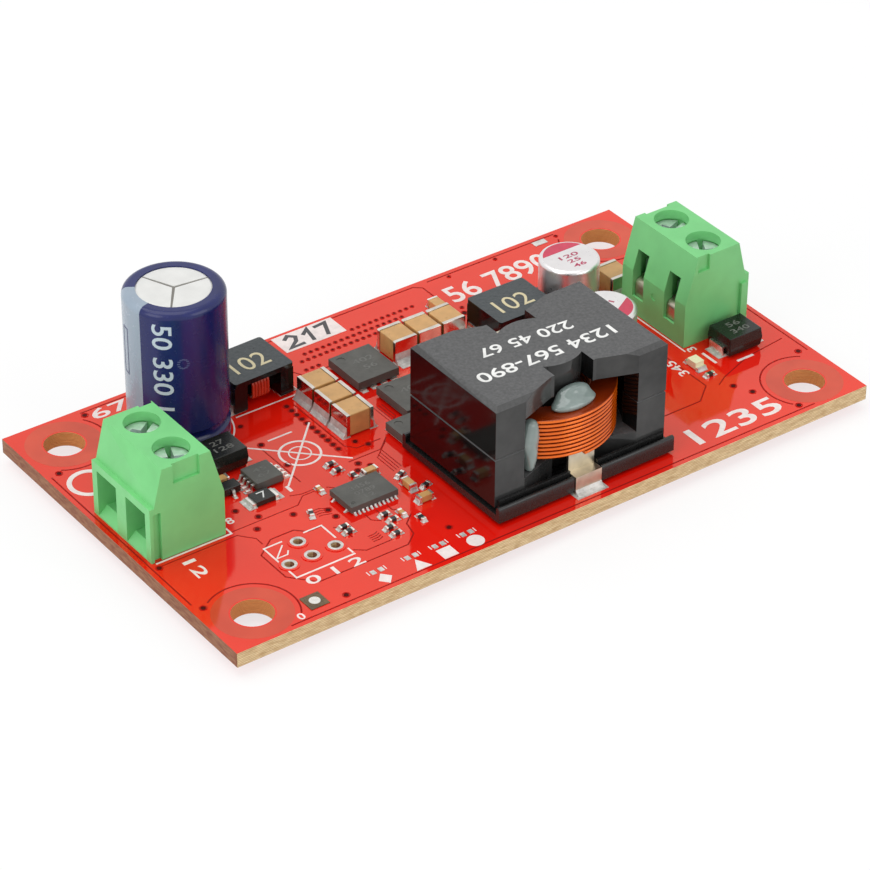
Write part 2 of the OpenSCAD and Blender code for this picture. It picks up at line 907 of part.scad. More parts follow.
module inductor_base() {
    saddle_w = clip_w + 2*clip_gap;
    color(moulding)
        seat(inductor_at)
            difference() {
                union() {
                    translate([-base_l/2 + 0.15, -base_w/2, clip_z])
                        cube([base_l, base_w, base_t]);
                    for (a = [0, 180])
                        rotate([0, 0, a]) {
                            translate([-base_l/2 + (a == 0 ? 0.15 : -0.15), -base_w/2, clip_z])
                                rotate([90, 0, 90])
                                    linear_extrude(base_l)
                                        base_bar_profile();
                            translate([-core_l/2 + 0.3, -core_w/2 - rim_t - snug, plate_top - 0.1])
                                cube([core_l - 0.6, rim_t, rim_h + 0.1]);
                            // feet at the corners
                            for (x = [-1, 1])
                                translate([x*(core_l/2 - 1.5) - 1, -base_w/2 + 1, -pad_t])
                                    cube([2, 2, clip_z + pad_t + 0.1]);
                        }
                }
                // seats for the two clips
                for (a = [0, 180])
                    rotate([0, 0, a])
                        translate([(a == 0 ? clip_x : -clip_x) - saddle_w/2, 0, 0]) {
                            translate([0, -base_w/2 - past, clip_z + base_t + bar_h - clip_t])
                                cube([saddle_w, base_bar + 2*past, bar_h + past]);
                            translate([0, -base_w/2 - past, -past])
                                cube([saddle_w, past + 0.2, base_t + bar_h + 2*past]);
                            translate([0, -core_w/2 - rim_t - past/2, plate_top])
                                cube([saddle_w, rim_t + past, rim_h + past]);
                        }
            }
}

// Tinned clip: foot under the base, up the front, over the bar and up to the coil
module clip(front_y, over_y, riser_y, riser_top) {
    top = plate_top + bar_h - clip_t;
    translate([-clip_w/2, 0, 0]) {
        translate([0, -front_y, 0])
            cube([clip_w, 2.2, clip_t - snug]);
        translate([0, -front_y, 0])
            cube([clip_w, clip_t - snug, top + clip_t]);
        translate([0, -front_y, top + snug])
            cube([clip_w, front_y - over_y, clip_t - snug]);
        translate([0, -riser_y - clip_t, top + snug])
            cube([clip_w, clip_t, riser_top - top - snug]);
    }
}

module inductor_terminals() {
    front_y = base_w/2 - 0.2 + clip_t;
    mid_y = coil_d/2 - 0.9;
    back_y = coil_d/2 + clip_gap;
    color(tin)
        seat(inductor_at) {
            translate([clip_x, 0, 0])
                clip(front_y, mid_y - clip_t, mid_y - clip_t, coil_z - snug);
            translate([clip_x, 0, 0])
                rotate([0, 0, 180]) {
                    clip(front_y, back_y, back_y, coil_top + clip_t + 2*snug);
                    translate([-clip_w/2, -back_y - clip_t, coil_top + 2*snug])
                        cube([clip_w, clip_t + 1.8, clip_t]);
                }
        }
}

module inductor_pads() {
    for (a = [0, 180])
        rotate([0, 0, a])
            translate([(a == 0 ? clip_x : -clip_x) - clip_w/2 - 0.3, -base_w/2 - 0.9, -pad_t])
                cube([clip_w + 0.6, 3.2, pad_t]);
}

module inductor_fillets() {
    front_y = base_w/2 - 0.2 + clip_t;
    for (a = [0, 180])
        rotate([0, 0, a])
            translate([a == 0 ? clip_x : -clip_x, -front_y, 0])
                rotate([0, 0, -90])
                    wedge(0.6, 0.5, clip_w);
}

// Potting adhesive: a blob on top of the coil, and one between coil and leg
module inductor_adhesive() {
    lift = coil_z + (coil_turns - 0.5)*coil_pitch + wire_t + 0.08;
    color([0.62, 0.68, 0.67])
        seat(inductor_at) {
            hull() {
                for (p = [[-0.9, -5.5, 0.35], [0.9, -5.6, 0.3], [2.1, -5.3, 0.2]])
                    translate([p[0], p[1], lift])
                        cylinder(h = p[2], r1 = 0.55, r2 = 0.4, $fn = 20);
                for (p = [[-0.6, -4.95, 0.75], [0.9, -4.9, 1.2]])
                    translate([p[0], p[1], lift])
                        cylinder(h = p[2], r1 = 0.5, r2 = 0.2, $fn = 20);
            }
            side_adhesive();
        }
}

// Plug of adhesive in the slot between the coil's flank and the left leg
module side_adhesive() {
    translate([0, 0, coil_z + 0.1])
        linear_extrude(coil_turns*coil_pitch - 0.3)
            difference() {
                translate([-leg_in + 0.03, -core_w/2 + 0.25])
                    square([1.6, 1.3]);
                circle(d = coil_d + 0.1);
            }
}

// ---------- chokes ----------

// Bobbin core: two end blocks joined by a bar
module choke_core() {
    for (side = [-1, 1])
        translate([side*(choke_l - choke_leg)/2 - choke_leg/2, -choke_w/2 + 0.1, choke_foot])
            cube([choke_leg, choke_w - 0.2, choke_side_h]);
    translate([-choke_span/2 - 0.1, -choke_bar[0]/2, choke_mid - choke_bar[1]/2])
        cube([choke_span + 0.2, choke_bar[0], choke_bar[1]]);
}

choke_mid = choke_foot + choke_side_h/2;

module choke_plate() {
    translate([0, 0, choke_foot + choke_side_h])
        linear_extrude(choke_plate_t)
            rounded_rect(choke_l, choke_w, 0.3);
}

module choke_winding() {
    inner = [choke_wind[1]/2 - choke_wire, choke_wind[0]/2 - choke_wire];
    outer = [choke_wind[1]/2, choke_wind[0]/2];
    length = choke_pitch*choke_turns + choke_wire;
    translate([-length/2, 0, choke_mid])
        rotate([0, 90, 0])
            helix(inner, outer, choke_wire, choke_pitch, choke_turns, 20, 0.5);
}

// Tinned end plates under the end blocks, turned up a little at the ends
module choke_end_plates() {
    for (side = [0, 180])
        rotate([0, 0, side]) {
            translate([choke_l/2 - choke_leg, -choke_w/2 + 0.4, 0])
                cube([choke_leg, choke_w - 0.8, choke_foot]);
            translate([choke_l/2, -choke_w/2 + 0.4, 0])
                cube([choke_foot, choke_w - 0.8, 1]);
        }
}

module choke_pads() {
    for (side = [0, 180])
        rotate([0, 0, side])
            translate([choke_l/2 - choke_leg, -choke_w/2 + 0.3, -pad_t])
                cube([choke_leg + 0.6, choke_w - 0.6, pad_t]);
}

module choke_fillets() {
    for (side = [0, 180])
        rotate([0, 0, side])
            translate([choke_l/2 + choke_foot, 0, 0])
                wedge(0.4, 0.7, choke_w - 0.8);
}

module input_choke_core() {
    color(ferrite)
        seat(input_choke_at, choke_turn)
            choke_core();
}

module input_choke_plate() {
    color(ferrite)
        seat(input_choke_at, choke_turn)
            choke_plate();
}

module input_choke_winding() {
    color(enamel)
        seat(input_choke_at, choke_turn)
            choke_winding();
}

module output_choke_core() {
    color(ferrite)
        seat(output_choke_at)
            choke_core();
}

module output_choke_plate() {
    color(ferrite)
        seat(output_choke_at)
            choke_plate();
}

module output_choke_winding() {
    color(enamel)
        seat(output_choke_at)
            choke_winding();
}

module choke_terminals() {
    color(tin) {
        seat(input_choke_at, choke_turn)
            choke_end_plates();
        seat(output_choke_at)
            choke_end_plates();
    }
}

// ---------- ceramic capacitors and chip resistors ----------

module input_ceramics() {
    color(ceramic_tan)
        for (p = row_1)
            seat(p)
                chip_body(ceramic_size, ceramic_end);
}

module output_ceramics() {
    color(ceramic_tan) {
        for (p = row_2)
            seat(p, 90)
                chip_body(ceramic_size, ceramic_end);
        seat(lone_ceramic_at, 90)
            chip_body(ceramic_size, ceramic_end);
    }
}

module ceramic_capacitor_ends() {
    color(tin)
        ceramic_places()
            chip_ends(ceramic_size, ceramic_end);
}

module chip_resistor_bodies() {
    color(moulding)
        chip_places(resistor_spots)
            chip_body(chip_s, chip_end);
}

module chip_resistor_ends() {
    color(tin)
        chip_places(resistor_spots)
            chip_ends(chip_s, chip_end);
}

module small_ceramic_bodies() {
    color(ceramic_tan) {
        chip_places(tiny_ceramic_spots)
            chip_body(chip_s, chip_end);
        chip_places(small_ceramic_spots)
            chip_body(chip_m, chip_end);
        chip_places([output_small_ceramic])
            chip_body(chip_l, chip_end);
    }
}

module small_ceramic_ends() {
    color(tin) {
        chip_places(tiny_ceramic_spots)
            chip_ends(chip_s, chip_end);
        chip_places(small_ceramic_spots)
            chip_ends(chip_m, chip_end);
        chip_places([output_small_ceramic])
            chip_ends(chip_l, chip_end);
    }
}

// ---------- polymer capacitors ----------

can_base_w = can_d + 0.3;
can_base_z = 0.15;
can_base_h = 0.9;
can_lead_w = 0.65;
can_lead_out = 0.5;

// Can with a rounded top edge and a crimp near its foot
module polymer_can() {
    r = can_d/2;
    z0 = can_base_z + can_base_h;
    rotate_extrude()
        difference() {
            union() {
                translate([0, z0])
                    square([r, can_h - z0 - 0.4]);
                translate([0, can_h - 0.5])
                    square([r - 0.4, 0.5]);
                translate([r - 0.4, can_h - 0.4])
                    circle(0.4);
            }
            translate([r + 0.25, z0 + 0.75])
                circle(0.5);
            translate([-2*r, 0])
                square([2*r, can_h + past]);
        }
}

module polymer_can_shells() {
    color(steel)
        for (p = polymer_at)
            seat(p, 90)
                polymer_can();
}

// Square base with two clipped corners at the positive end
module can_base_outline() {
    h = can_base_w/2;
    c = 1.2;
    polygon([[-h, -h], [h - c, -h], [h, -h + c], [h, h - c], [h - c, h], [-h, h]]);
}

module polymer_can_bases() {
    color(moulding)
        for (p = polymer_at)
            seat(p, 90)
                translate([0, 0, can_base_z])
                    linear_extrude(can_base_h)
                        can_base_outline();
}

module polymer_can_leads() {
    color(tin)
        for (p = polymer_at)
            seat(p, 90)
                for (side = [0, 180])
                    rotate([0, 0, side])
                        translate([1, -can_lead_w/2, 0])
                            cube([can_base_w/2 - 1 + can_lead_out, can_lead_w, can_base_z]);
}

module can_pads() {
    for (side = [0, 180])
        rotate([0, 0, side])
            translate([1, -0.8, -pad_t])
                cube([can_base_w/2 - 1 + can_lead_out + 0.4, 1.6, pad_t]);
}

// ---------- power transistors ----------

fet_size = [4.9, 5.3];
small_fet_size = [3.2, 3.2];
frame_t = 0.2;
fet_leads = 4;

module fet_body(size) {
    difference() {
        translate([-size[0]/2, -size[1]/2, frame_t])
            cube([size[0], size[1], fet_h - frame_t]);
        translate([-size[0]/2 + 0.9, size[1]/2 - 0.9, fet_h - 0.05])
            cylinder(h = past, r = 0.45);
    }
}

// Leads along the front edge and the large heat pad behind them
module fet_frame(size, t, grow = 0) {
    lead_w = size[0]*0.1 + grow;
    for (i = [0:fet_leads - 1])
        translate([(i - (fet_leads - 1)/2)*size[0]*0.25 - lead_w/2, -size[1]/2 - 0.25 - grow, 0])
            cube([lead_w, 0.9 + grow, t]);
    translate([-size[0]*0.41 - grow/2, -size[1]*0.25, 0])
        cube([size[0]*0.82 + grow, size[1]*0.75 + 0.2 + grow, t]);
}

module fet_pads(size) {
    translate([0, 0, -pad_t])
        fet_frame(size, pad_t, 0.2);
}

module power_transistor_bodies() {
    color(moulding) {
        for (p = fet_at)
            seat(p)
                fet_body(fet_size);
        seat(small_fet_at)
            fet_body(small_fet_size);
    }
}

module power_transistor_leads() {
    color(tin) {
        for (p = fet_at)
            seat(p)
                fet_frame(fet_size, frame_t);
        seat(small_fet_at)
            fet_frame(small_fet_size, frame_t);
    }
}

// ---------- controller ----------

control_leads = [11, 2];
control_pitch = 0.47;
side_pitch = 2.1;
control_lead_w = 0.22;
control_frame = 0.15;

module controller_body() {
    color(moulding)
        seat(controller_at)
            difference() {
                translate([-control_l/2, -control_w/2, control_frame])
                    cube([control_l, control_w, control_h - control_frame]);
                translate([-control_l/2 + 0.6, -control_w/2 + 0.6, control_h - 0.04])
                    cylinder(h = past, r = 0.22);
            }
}

// Places its children at every lead, pointing outwards from the body's edge
module controller_edge_spots() {
    for (side = [0, 180])
        rotate([0, 0, side]) {
            for (i = [0:control_leads[0] - 1])
                translate([(i - (control_leads[0] - 1)/2)*control_pitch, control_w/2, 0])
                    rotate([0, 0, 90])
                        children();
            for (i = [0:control_leads[1] - 1])
                translate([control_l/2, (i - (control_leads[1] - 1)/2)*side_pitch, 0])
                    children();
        }
}

module controller_leads() {
    color(tin)
        seat(controller_at) {
            controller_edge_spots()
                translate([-0.4, -control_lead_w/2, 0])
                    cube([0.4, control_lead_w, control_frame]);
            translate([-control_l*0.34, -control_w*0.25, 0])
                cube([control_l*0.68, control_w*0.5, control_frame]);
        }
}

module controller_pads() {
    controller_edge_spots()
        translate([-0.4, -control_lead_w/2, -pad_t])
            cube([0.75, control_lead_w, pad_t]);
    translate([-control_l*0.34, -control_w*0.25, -pad_t])
        cube([control_l*0.68, control_w*0.5, pad_t]);
}

module controller_fillets() {
    controller_edge_spots()
        wedge(0.3, 0.22, control_lead_w);
}

// ---------- leaded small parts ----------

amplifier_size = [3, 3, 0.95];
amplifier_rows = 4;
amplifier_pitch = 0.65;
amplifier_out = 0.95;
gull_w = 0.3;
gull_t = 0.15;
gull_slope = 0.15;

// Gull-wing lead: out of the body's side, down, and a flat foot
module gull_lead(body_h, out) {
    mid = body_h*0.5;
    knee = out*0.32;
    along_y(gull_w)
        polygon([[0, mid + gull_t], [knee, mid + gull_t], [knee + gull_slope, gull_t], [out, gull_t],
            [out, 0], [knee + 0.02, 0], [knee + 0.02 - gull_slope, mid], [0, mid]]);
}

module gull_pad(out) {
    translate([out*0.3, -gull_w/2 - 0.04, -pad_t])
        cube([out*0.7 + 0.2, gull_w + 0.08, pad_t]);
}

module amplifier_places() {
    for (side = [0, 180], i = [0:amplifier_rows - 1])
        rotate([0, 0, side])
            translate([amplifier_size[0]/2, (i - (amplifier_rows - 1)/2)*amplifier_pitch, 0])
                children();
}

// Moulded body with sides drawn in above and below the parting line
module drafted_body(size, z0, draft) {
    mid = z0 + (size[2] - z0)*0.45;
    intersection() {
        along_y(size[1] + 2*past)
            drafted_profile(size[0], z0, mid, size[2], draft);
        rotate([0, 0, 90])
            along_y(size[0] + 2*past)
                drafted_profile(size[1], z0, mid, size[2], draft);
    }
}

module drafted_profile(w, z0, mid, z1, draft) {
    polygon([[-w/2 + draft, z0], [-w/2, mid], [-w/2 + draft, z1],
        [w/2 - draft, z1], [w/2, mid], [w/2 - draft, z0]]);
}

module amplifier_body() {
    color(moulding)
        seat(amplifier_at)
            translate([-amplifier_size[0]/2, -amplifier_size[1]/2, 0.1])
                cube([amplifier_size[0], amplifier_size[1], amplifier_size[2] - 0.1]);
}

module amplifier_leads() {
    color(tin)
        seat(amplifier_at)
            amplifier_places()
                gull_lead(amplifier_size[2], amplifier_out);
}

transistor_size = [1.3, 1.9, 0.9];
transistor_pitch = 1.2;
transistor_out = 0.5;

// Three leads: two on one side and one on the other
module sot_places() {
    for (y = [-0.5, 0.5])
        translate([transistor_size[0]/2, y*transistor_pitch, 0])
            children();
    rotate([0, 0, 180])
        translate([transistor_size[0]/2, 0, 0])
            children();
}

module small_transistor_body() {
    color(moulding)
        seat(small_transistor_at, 90)
            translate([-transistor_size[0]/2, -transistor_size[1]/2, 0.1])
                cube([transistor_size[0], transistor_size[1], transistor_size[2] - 0.1]);
}

module small_transistor_leads() {
    color(tin)
        seat(small_transistor_at, 90)
            sot_places()
                gull_lead(transistor_size[2], transistor_out);
}

// J-shaped lead: out of the parting line, down the side and under the body
module diode_lead() {
    mid = lead_t + (diode_h - lead_t)*0.45;
    out = 0.35;
    along_y(diode_lead_w)
        polygon([[0, mid], [out, mid], [out, 0], [-1, 0], [-1, lead_t], [out - lead_t, lead_t],
            [out - lead_t, mid - lead_t], [0.03, mid - lead_t]]);
}

module diode_leads() {
    for (side = [0, 180])
        rotate([0, 0, side])
            translate([diode_size[0]/2, 0, 0])
                diode_lead();
}

module diode_body() {
    drafted_body([diode_size[0], diode_size[1], diode_h], lead_t, 0.12);
}

module diode_pads() {
    for (side = [0, 180])
        rotate([0, 0, side])
            translate([diode_size[0]/2 - 1.1, -diode_lead_w/2 - 0.1, -pad_t])
                cube([1.9, diode_lead_w + 0.2, pad_t]);
}

module suppressor_body() {
    color(moulding)
        seat(suppressor_at)
            diode_body();
}

module suppressor_leads() {
    color(tin)
        seat(suppressor_at)
            diode_leads();
}

module output_diode_body() {
    color(moulding)
        seat(output_diode_at)
            diode_body();
}

module output_diode_leads() {
    color(tin)
        seat(output_diode_at)
            diode_leads();
}

clamp_size = [3, 1.7, 0.55];
clamp_end = 0.45;

module clamp_diode_body() {
    color(moulding)
        seat(clamp_at)
            chip_body(clamp_size, clamp_end, 0.02);
}

module clamp_diode_ends() {
    color(tin)
        seat(clamp_at)
            chip_ends([clamp_size[0], clamp_size[1] - 0.3, clamp_size[2] - 0.2], clamp_end);
}

// Lens on its small base, between the plated ends
module status_light_body() {
    color([0.9, 0.88, 0.7])
        seat(light_at, 90) {
            chip_body([light_size[0], light_size[1], 0.35], chip_end, 0);
            translate([-light_size[0]/2 + chip_end + 0.1, -light_size[1]/2, 0.3])
                cube([light_size[0] - 2*chip_end - 0.2, light_size[1], light_size[2] - 0.3]);
        }
}

module status_light_ends() {
    color(tin)
        seat(light_at, 90)
            chip_ends([light_size[0], light_size[1], 0.35], chip_end);
}

circuit_board();
solder_pads();
solder_joints();
input_terminal_housing();
input_terminal_contacts();
input_screw(1, screw_turns[0]);  // input_screw_1
input_screw(-1, screw_turns[1]);  // input_screw_2
input_cage(1);  // input_cage_1
input_cage(-1);  // input_cage_2
output_terminal_housing();
output_terminal_contacts();
output_screw(-1, screw_turns[2]);  // output_screw_1
output_screw(1, screw_turns[3]);  // output_screw_2
output_cage(-1);  // output_cage_1
output_cage(1);  // output_cage_2
bulk_capacitor_can();
bulk_capacitor_sleeve();
bulk_capacitor_seal();
bulk_capacitor_leads();
inductor_upper_core();
inductor_lower_core();
inductor_coil();
inductor_base();
inductor_terminals();
inductor_adhesive();
input_choke_core();
input_choke_plate();
input_choke_winding();
output_choke_core();
output_choke_plate();
output_choke_winding();
choke_terminals();
input_ceramics();
output_ceramics();
ceramic_capacitor_ends();
polymer_can_shells();
polymer_can_bases();
polymer_can_leads();
power_transistor_bodies();
power_transistor_leads();
controller_body();
controller_leads();
suppressor_body();
suppressor_leads();
output_diode_body();
output_diode_leads();
amplifier_body();
amplifier_leads();
small_transistor_body();
small_transistor_leads();
clamp_diode_body();
clamp_diode_ends();
status_light_body();
status_light_ends();
chip_resistor_bodies();
chip_resistor_ends();
small_ceramic_bodies();
small_ceramic_ends();
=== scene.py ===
import json
import math

import bmesh
import bpy
from mathutils import Matrix, Vector


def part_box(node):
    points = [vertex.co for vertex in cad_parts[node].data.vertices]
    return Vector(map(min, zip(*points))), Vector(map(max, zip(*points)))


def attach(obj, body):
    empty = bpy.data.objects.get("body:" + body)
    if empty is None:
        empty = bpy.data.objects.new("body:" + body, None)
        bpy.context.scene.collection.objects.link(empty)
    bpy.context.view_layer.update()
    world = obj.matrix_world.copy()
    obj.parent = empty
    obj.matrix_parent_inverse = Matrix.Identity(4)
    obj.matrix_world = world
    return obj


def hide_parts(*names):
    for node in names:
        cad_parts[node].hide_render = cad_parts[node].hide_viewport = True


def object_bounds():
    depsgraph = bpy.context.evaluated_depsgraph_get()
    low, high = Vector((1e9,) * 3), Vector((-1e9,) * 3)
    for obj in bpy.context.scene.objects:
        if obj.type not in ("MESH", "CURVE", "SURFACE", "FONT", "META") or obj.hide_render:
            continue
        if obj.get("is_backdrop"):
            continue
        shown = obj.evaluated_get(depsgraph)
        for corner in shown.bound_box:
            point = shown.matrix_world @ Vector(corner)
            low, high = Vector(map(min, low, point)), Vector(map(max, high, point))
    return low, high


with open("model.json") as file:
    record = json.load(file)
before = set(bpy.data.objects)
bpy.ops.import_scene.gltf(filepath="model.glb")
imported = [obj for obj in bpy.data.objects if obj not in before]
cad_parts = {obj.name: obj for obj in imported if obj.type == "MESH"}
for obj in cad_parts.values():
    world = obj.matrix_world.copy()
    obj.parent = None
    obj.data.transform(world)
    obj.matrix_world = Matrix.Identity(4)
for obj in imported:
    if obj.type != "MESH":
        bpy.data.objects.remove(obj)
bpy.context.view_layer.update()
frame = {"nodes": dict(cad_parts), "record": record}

NODES = frame["nodes"]
MM = 0.001

board_lo, board_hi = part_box("circuit_board")
TOP = board_hi.z
BOTTOM = board_lo.z

# Half the spacing of the mounting holes, in mm
HOLE_DIMS = next(m["dims"] for m in frame["record"]["mounts"] if m["name"] == "mounting_holes")
HOLE_X = HOLE_DIMS["spacing_x_mm"] / 2
HOLE_Y = HOLE_DIMS["spacing_y_mm"] / 2


# ------------ materials

def set_inputs(node, **values):
    """Sets a node's inputs. An underscore stands for the space in an input's name."""
    for name, value in values.items():
        node.inputs[name.replace("_", " ")].default_value = value


class Graph:
    """A material, with short names for the nodes that it is made from."""

    def __init__(self, name):
        self.mat = bpy.data.materials.new(name)
        self.mat.use_nodes = True
        self.nt = self.mat.node_tree
        for n in list(self.nt.nodes):
            self.nt.nodes.remove(n)
        self.out = self.node("OutputMaterial")
        self.bsdf = self.node("BsdfPrincipled")
        self.nt.links.new(self.bsdf.outputs["BSDF"], self.out.inputs["Surface"])
        self.coord = self.node("TexCoord").outputs["Object"]

    def node(self, kind, vector=None, **values):
        n = self.nt.nodes.new("ShaderNode" + kind)
        set_inputs(n, **values)
        if vector:
            self.nt.links.new(vector, n.inputs["Vector"])
        return n

    def mapped(self, scale):
        return self.node("Mapping", self.coord, Scale=scale).outputs["Vector"]

    def noise(self, scale, detail=3.0, rough=0.55, vector=None):
        vector = vector or self.coord
        return self.node("TexNoise", vector, Scale=scale, Detail=detail, Roughness=rough).outputs["Fac"]

    def pits(self, scale):
        return self.node("TexVoronoi", self.coord, Scale=scale).outputs["Distance"]

    def wave(self, scale, direction, distort, detail_scale=1.0):
        n = self.node("TexWave", self.coord, Scale=scale, Distortion=distort, Detail_Scale=detail_scale)
        n.bands_direction = direction
        return n.outputs["Fac"]

    def remap(self, value, lo, hi, to_lo=0.0, to_hi=1.0):
        n = self.node("MapRange", From_Min=lo, From_Max=hi, To_Min=to_lo, To_Max=to_hi)
        self.nt.links.new(value, n.inputs["Value"])
        return n.outputs["Result"]

    def math(self, op, a, b=None):
        n = self.node("Math")
        n.operation = op
        for i, v in enumerate((a, b)):
            if v is None:
                continue
            if isinstance(v, (int, float)):
                n.inputs[i].default_value = v
            else:
                self.nt.links.new(v, n.inputs[i])
        return n.outputs[0]

    def mix(self, fac, a, b):
        n = self.node("Mix")
        n.data_type = "RGBA"
        for sock, v in ((n.inputs["Factor"], fac), (n.inputs[6], a), (n.inputs[7], b)):
            if isinstance(v, (int, float)):
                sock.default_value = v
            elif isinstance(v, tuple):
                sock.default_value = (*v, 1.0)
            else:
                self.nt.links.new(v, sock)
        return n.outputs[2]

    def position(self):
        """X, Y and Z of the place on the object, and of the surface's normal."""
        place = self.node("SeparateXYZ", self.coord)
        normal = self.node("SeparateXYZ", self.node("NewGeometry").outputs["Normal"])
        return place.outputs, normal.outputs

    def color(self, socket):
        self.nt.links.new(socket, self.bsdf.inputs["Base Color"])

    def rough(self, socket):
        self.nt.links.new(socket, self.bsdf.inputs["Roughness"])

    def bump(self, height, distance):
        n = self.node("Bump", Strength=1.0, Distance=distance)
        self.nt.links.new(height, n.inputs["Height"])
        self.nt.links.new(n.outputs["Normal"], self.bsdf.inputs["Normal"])


def plain(name, base, rough, metal=0.0, vary=0.12, grain=900.0, bump=0.00002,
          patch=160.0, coat=0.0, spec=0.5):
    """A moulded, cast or plated surface: patchy colour, uneven gloss and a fine bump."""
    rough_vary = 0.08
    g = Graph(name)
    dark = tuple(c * (1 - vary) for c in base)
    light = tuple(min(1.0, c * (1 + vary)) for c in base)
    wide = g.noise(patch, 2.0)
    fine = g.noise(grain, 4.0, 0.6)
    g.color(g.mix(g.remap(wide, 0.3, 0.7), dark, light))
    g.rough(g.remap(fine, 0.3, 0.7, max(0.02, rough - rough_vary), min(1.0, rough + rough_vary)))
    g.bump(fine, bump)
    set_inputs(g.bsdf, Metallic=metal, Specular_IOR_Level=spec)
    if coat:
        set_inputs(g.bsdf, Coat_Weight=coat, Coat_Roughness=0.1)
    return g.mat


# The solder mask's red, at its darkest and lightest
MASK_RED = ((0.76, 0.006, 0.002), (0.83, 0.012, 0.004))


def lacquer_gloss(g):
    """Clear warm gloss of cured lacquer."""
    set_inputs(g.bsdf, Specular_IOR_Level=0.75, Specular_Tint=(1.0, 0.93, 0.62, 1.0))


def radius_from(g, pos, x, y):
    """Distance in plan from an upright axis."""
    dx = g.math("SUBTRACT", pos[0], x)
    dy = g.math("SUBTRACT", pos[1], y)
    return g.math("SQRT", g.math("ADD", g.math("MULTIPLY", dx, dx), g.math("MULTIPLY", dy, dy))), dx, dy


def board_material():
    """Red solder mask over copper on both faces, fibrous tan laminate at the edges, and hole walls painted a
    darker orange-brown as shade.
    """
    hole_wall_r = 2.4 * MM
    g = Graph("board_mask_and_laminate")
    pos, nor = g.position()
    # mask: copper planes show a little lighter than bare laminate through the lacquer
    wide = g.noise(95.0, 3.0, 0.5)
    fine = g.noise(2600.0, 3.0, 0.6)
    weave = g.math("MULTIPLY", g.wave(900.0, "X", 0.4), g.wave(900.0, "Y", 0.4))
    mask = g.mix(g.remap(wide, 0.35, 0.65), *MASK_RED)
    mask = g.mix(g.remap(weave, 0.0, 1.0, 0.0, 0.08), mask, (0.60, 0.004, 0.002))
    # laminate: glass bundles lie in flat layers, cut and frayed at the edge
    layers = g.wave(1700.0, "Z", 1.6, 2.0)
    bundles = g.noise(1.0, 3.0, 0.6, g.mapped((900, 900, 4200)))
    cut = g.mix(g.remap(layers, 0.2, 0.8), (0.60, 0.40, 0.19), (0.86, 0.68, 0.42))
    cut = g.mix(g.remap(bundles, 0.35, 0.7, 0.0, 0.75), cut, (0.40, 0.22, 0.09))
    # the edge faces that face -X, at the input end, are drawn a darker red-brown
    darker_input_end = g.mix(g.remap(bundles, 0.35, 0.65), (0.19, 0.045, 0.026), (0.33, 0.145, 0.080))
    cut = g.mix(g.math("LESS_THAN", nor[0], -0.7), cut, darker_input_end)
    # hole walls keep the laminate's layers, painted darker and more orange: painted shade inside the holes
    holes = None
    for sx in (-1, 1):
        for sy in (-1, 1):
            r, _, _ = radius_from(g, pos, sx * HOLE_X * MM, sy * HOLE_Y * MM)
            near = g.math("LESS_THAN", r, hole_wall_r)
            holes = near if holes is None else g.math("MAXIMUM", holes, near)
    hole_wall_shade = g.mix(g.remap(g.wave(2300.0, "Z", 0.6), 0.2, 0.8), (0.46, 0.14, 0.03), (0.80, 0.36, 0.12))
    cut = g.mix(holes, cut, hole_wall_shade)
    face = g.math("GREATER_THAN", g.math("ABSOLUTE", nor[2]), 0.7)
    g.color(g.mix(face, cut, mask))
    g.rough(g.math("SUBTRACT", g.remap(fine, 0.3, 0.7, 0.66, 0.72), g.math("MULTIPLY", face, 0.63)))
    height = g.mix(face, layers, g.math("MULTIPLY", fine, 0.008))
    g.bump(height, 0.00003)
    lacquer_gloss(g)
    return g.mat


def assign(mat, *names):
    for n in names:
        data = NODES[n].data
        data.materials.clear()
        data.materials.append(mat)


green = plain("moulded_green_nylon", (0.185, 0.600, 0.215), 0.40, vary=0.06, grain=2500,
              bump=0.000006, patch=300, spec=0.4)
tin = plain("tinned_solder", (0.80, 0.78, 0.73), 0.30, metal=1.0, vary=0.10, grain=1400,
            bump=0.000008, patch=900)
solder = plain("solder_satin", (0.62, 0.61, 0.58), 0.42, metal=0.35, vary=0.22, grain=1700,
               bump=0.00018, patch=1300)
plated_ends = plain("plated_ceramic_ends", (0.66, 0.62, 0.56), 0.16, metal=1.0, vary=0.12,
                    grain=900, bump=0.000006, patch=700)
dull_tin = plain("tinned_strip_dull", (0.60, 0.54, 0.43), 0.36, metal=1.0, vary=0.14,
                 grain=1100, bump=0.00001, patch=700)
steel = plain("plated_steel_worn", (0.80, 0.86, 0.85), 0.40, metal=0.72, vary=0.10,
              grain=1800, bump=0.000006, patch=900)
aluminium = plain("can_aluminium", (0.76, 0.74, 0.74), 0.34, metal=0.9, vary=0.04,
                  grain=2200, bump=0.000002, patch=400)
rubber = plain("seal_rubber", (0.02, 0.02, 0.02), 0.7, vary=0.2, grain=2000, bump=0.00001)
moulding = plain("epoxy_moulding", (0.090, 0.089, 0.080), 0.55, vary=0.14, grain=2600,
                 bump=0.000012, patch=700, spec=0.4)
gloss_moulding = plain("epoxy_moulding_gloss", (0.010, 0.011, 0.009), 0.24, vary=0.25,
                       grain=2600, bump=0.000003, patch=700, spec=0.4)
base_black = plain("inductor_base_moulding", (0.012, 0.012, 0.012), 0.26, vary=0.2,
                   grain=2000, bump=0.000006)
tan = plain("ceramic_tan_fired", (0.60, 0.335, 0.120), 0.34, vary=0.10, grain=1800,
            bump=0.000004, patch=800)
lens = plain("light_lens_resin", (0.90, 0.86, 0.56), 0.22, vary=0.05, grain=1500, bump=0.000003)
chip_black = plain("chip_resistor_glaze", (0.020, 0.020, 0.022), 0.3, vary=0.2, grain=3000, bump=0.000003)

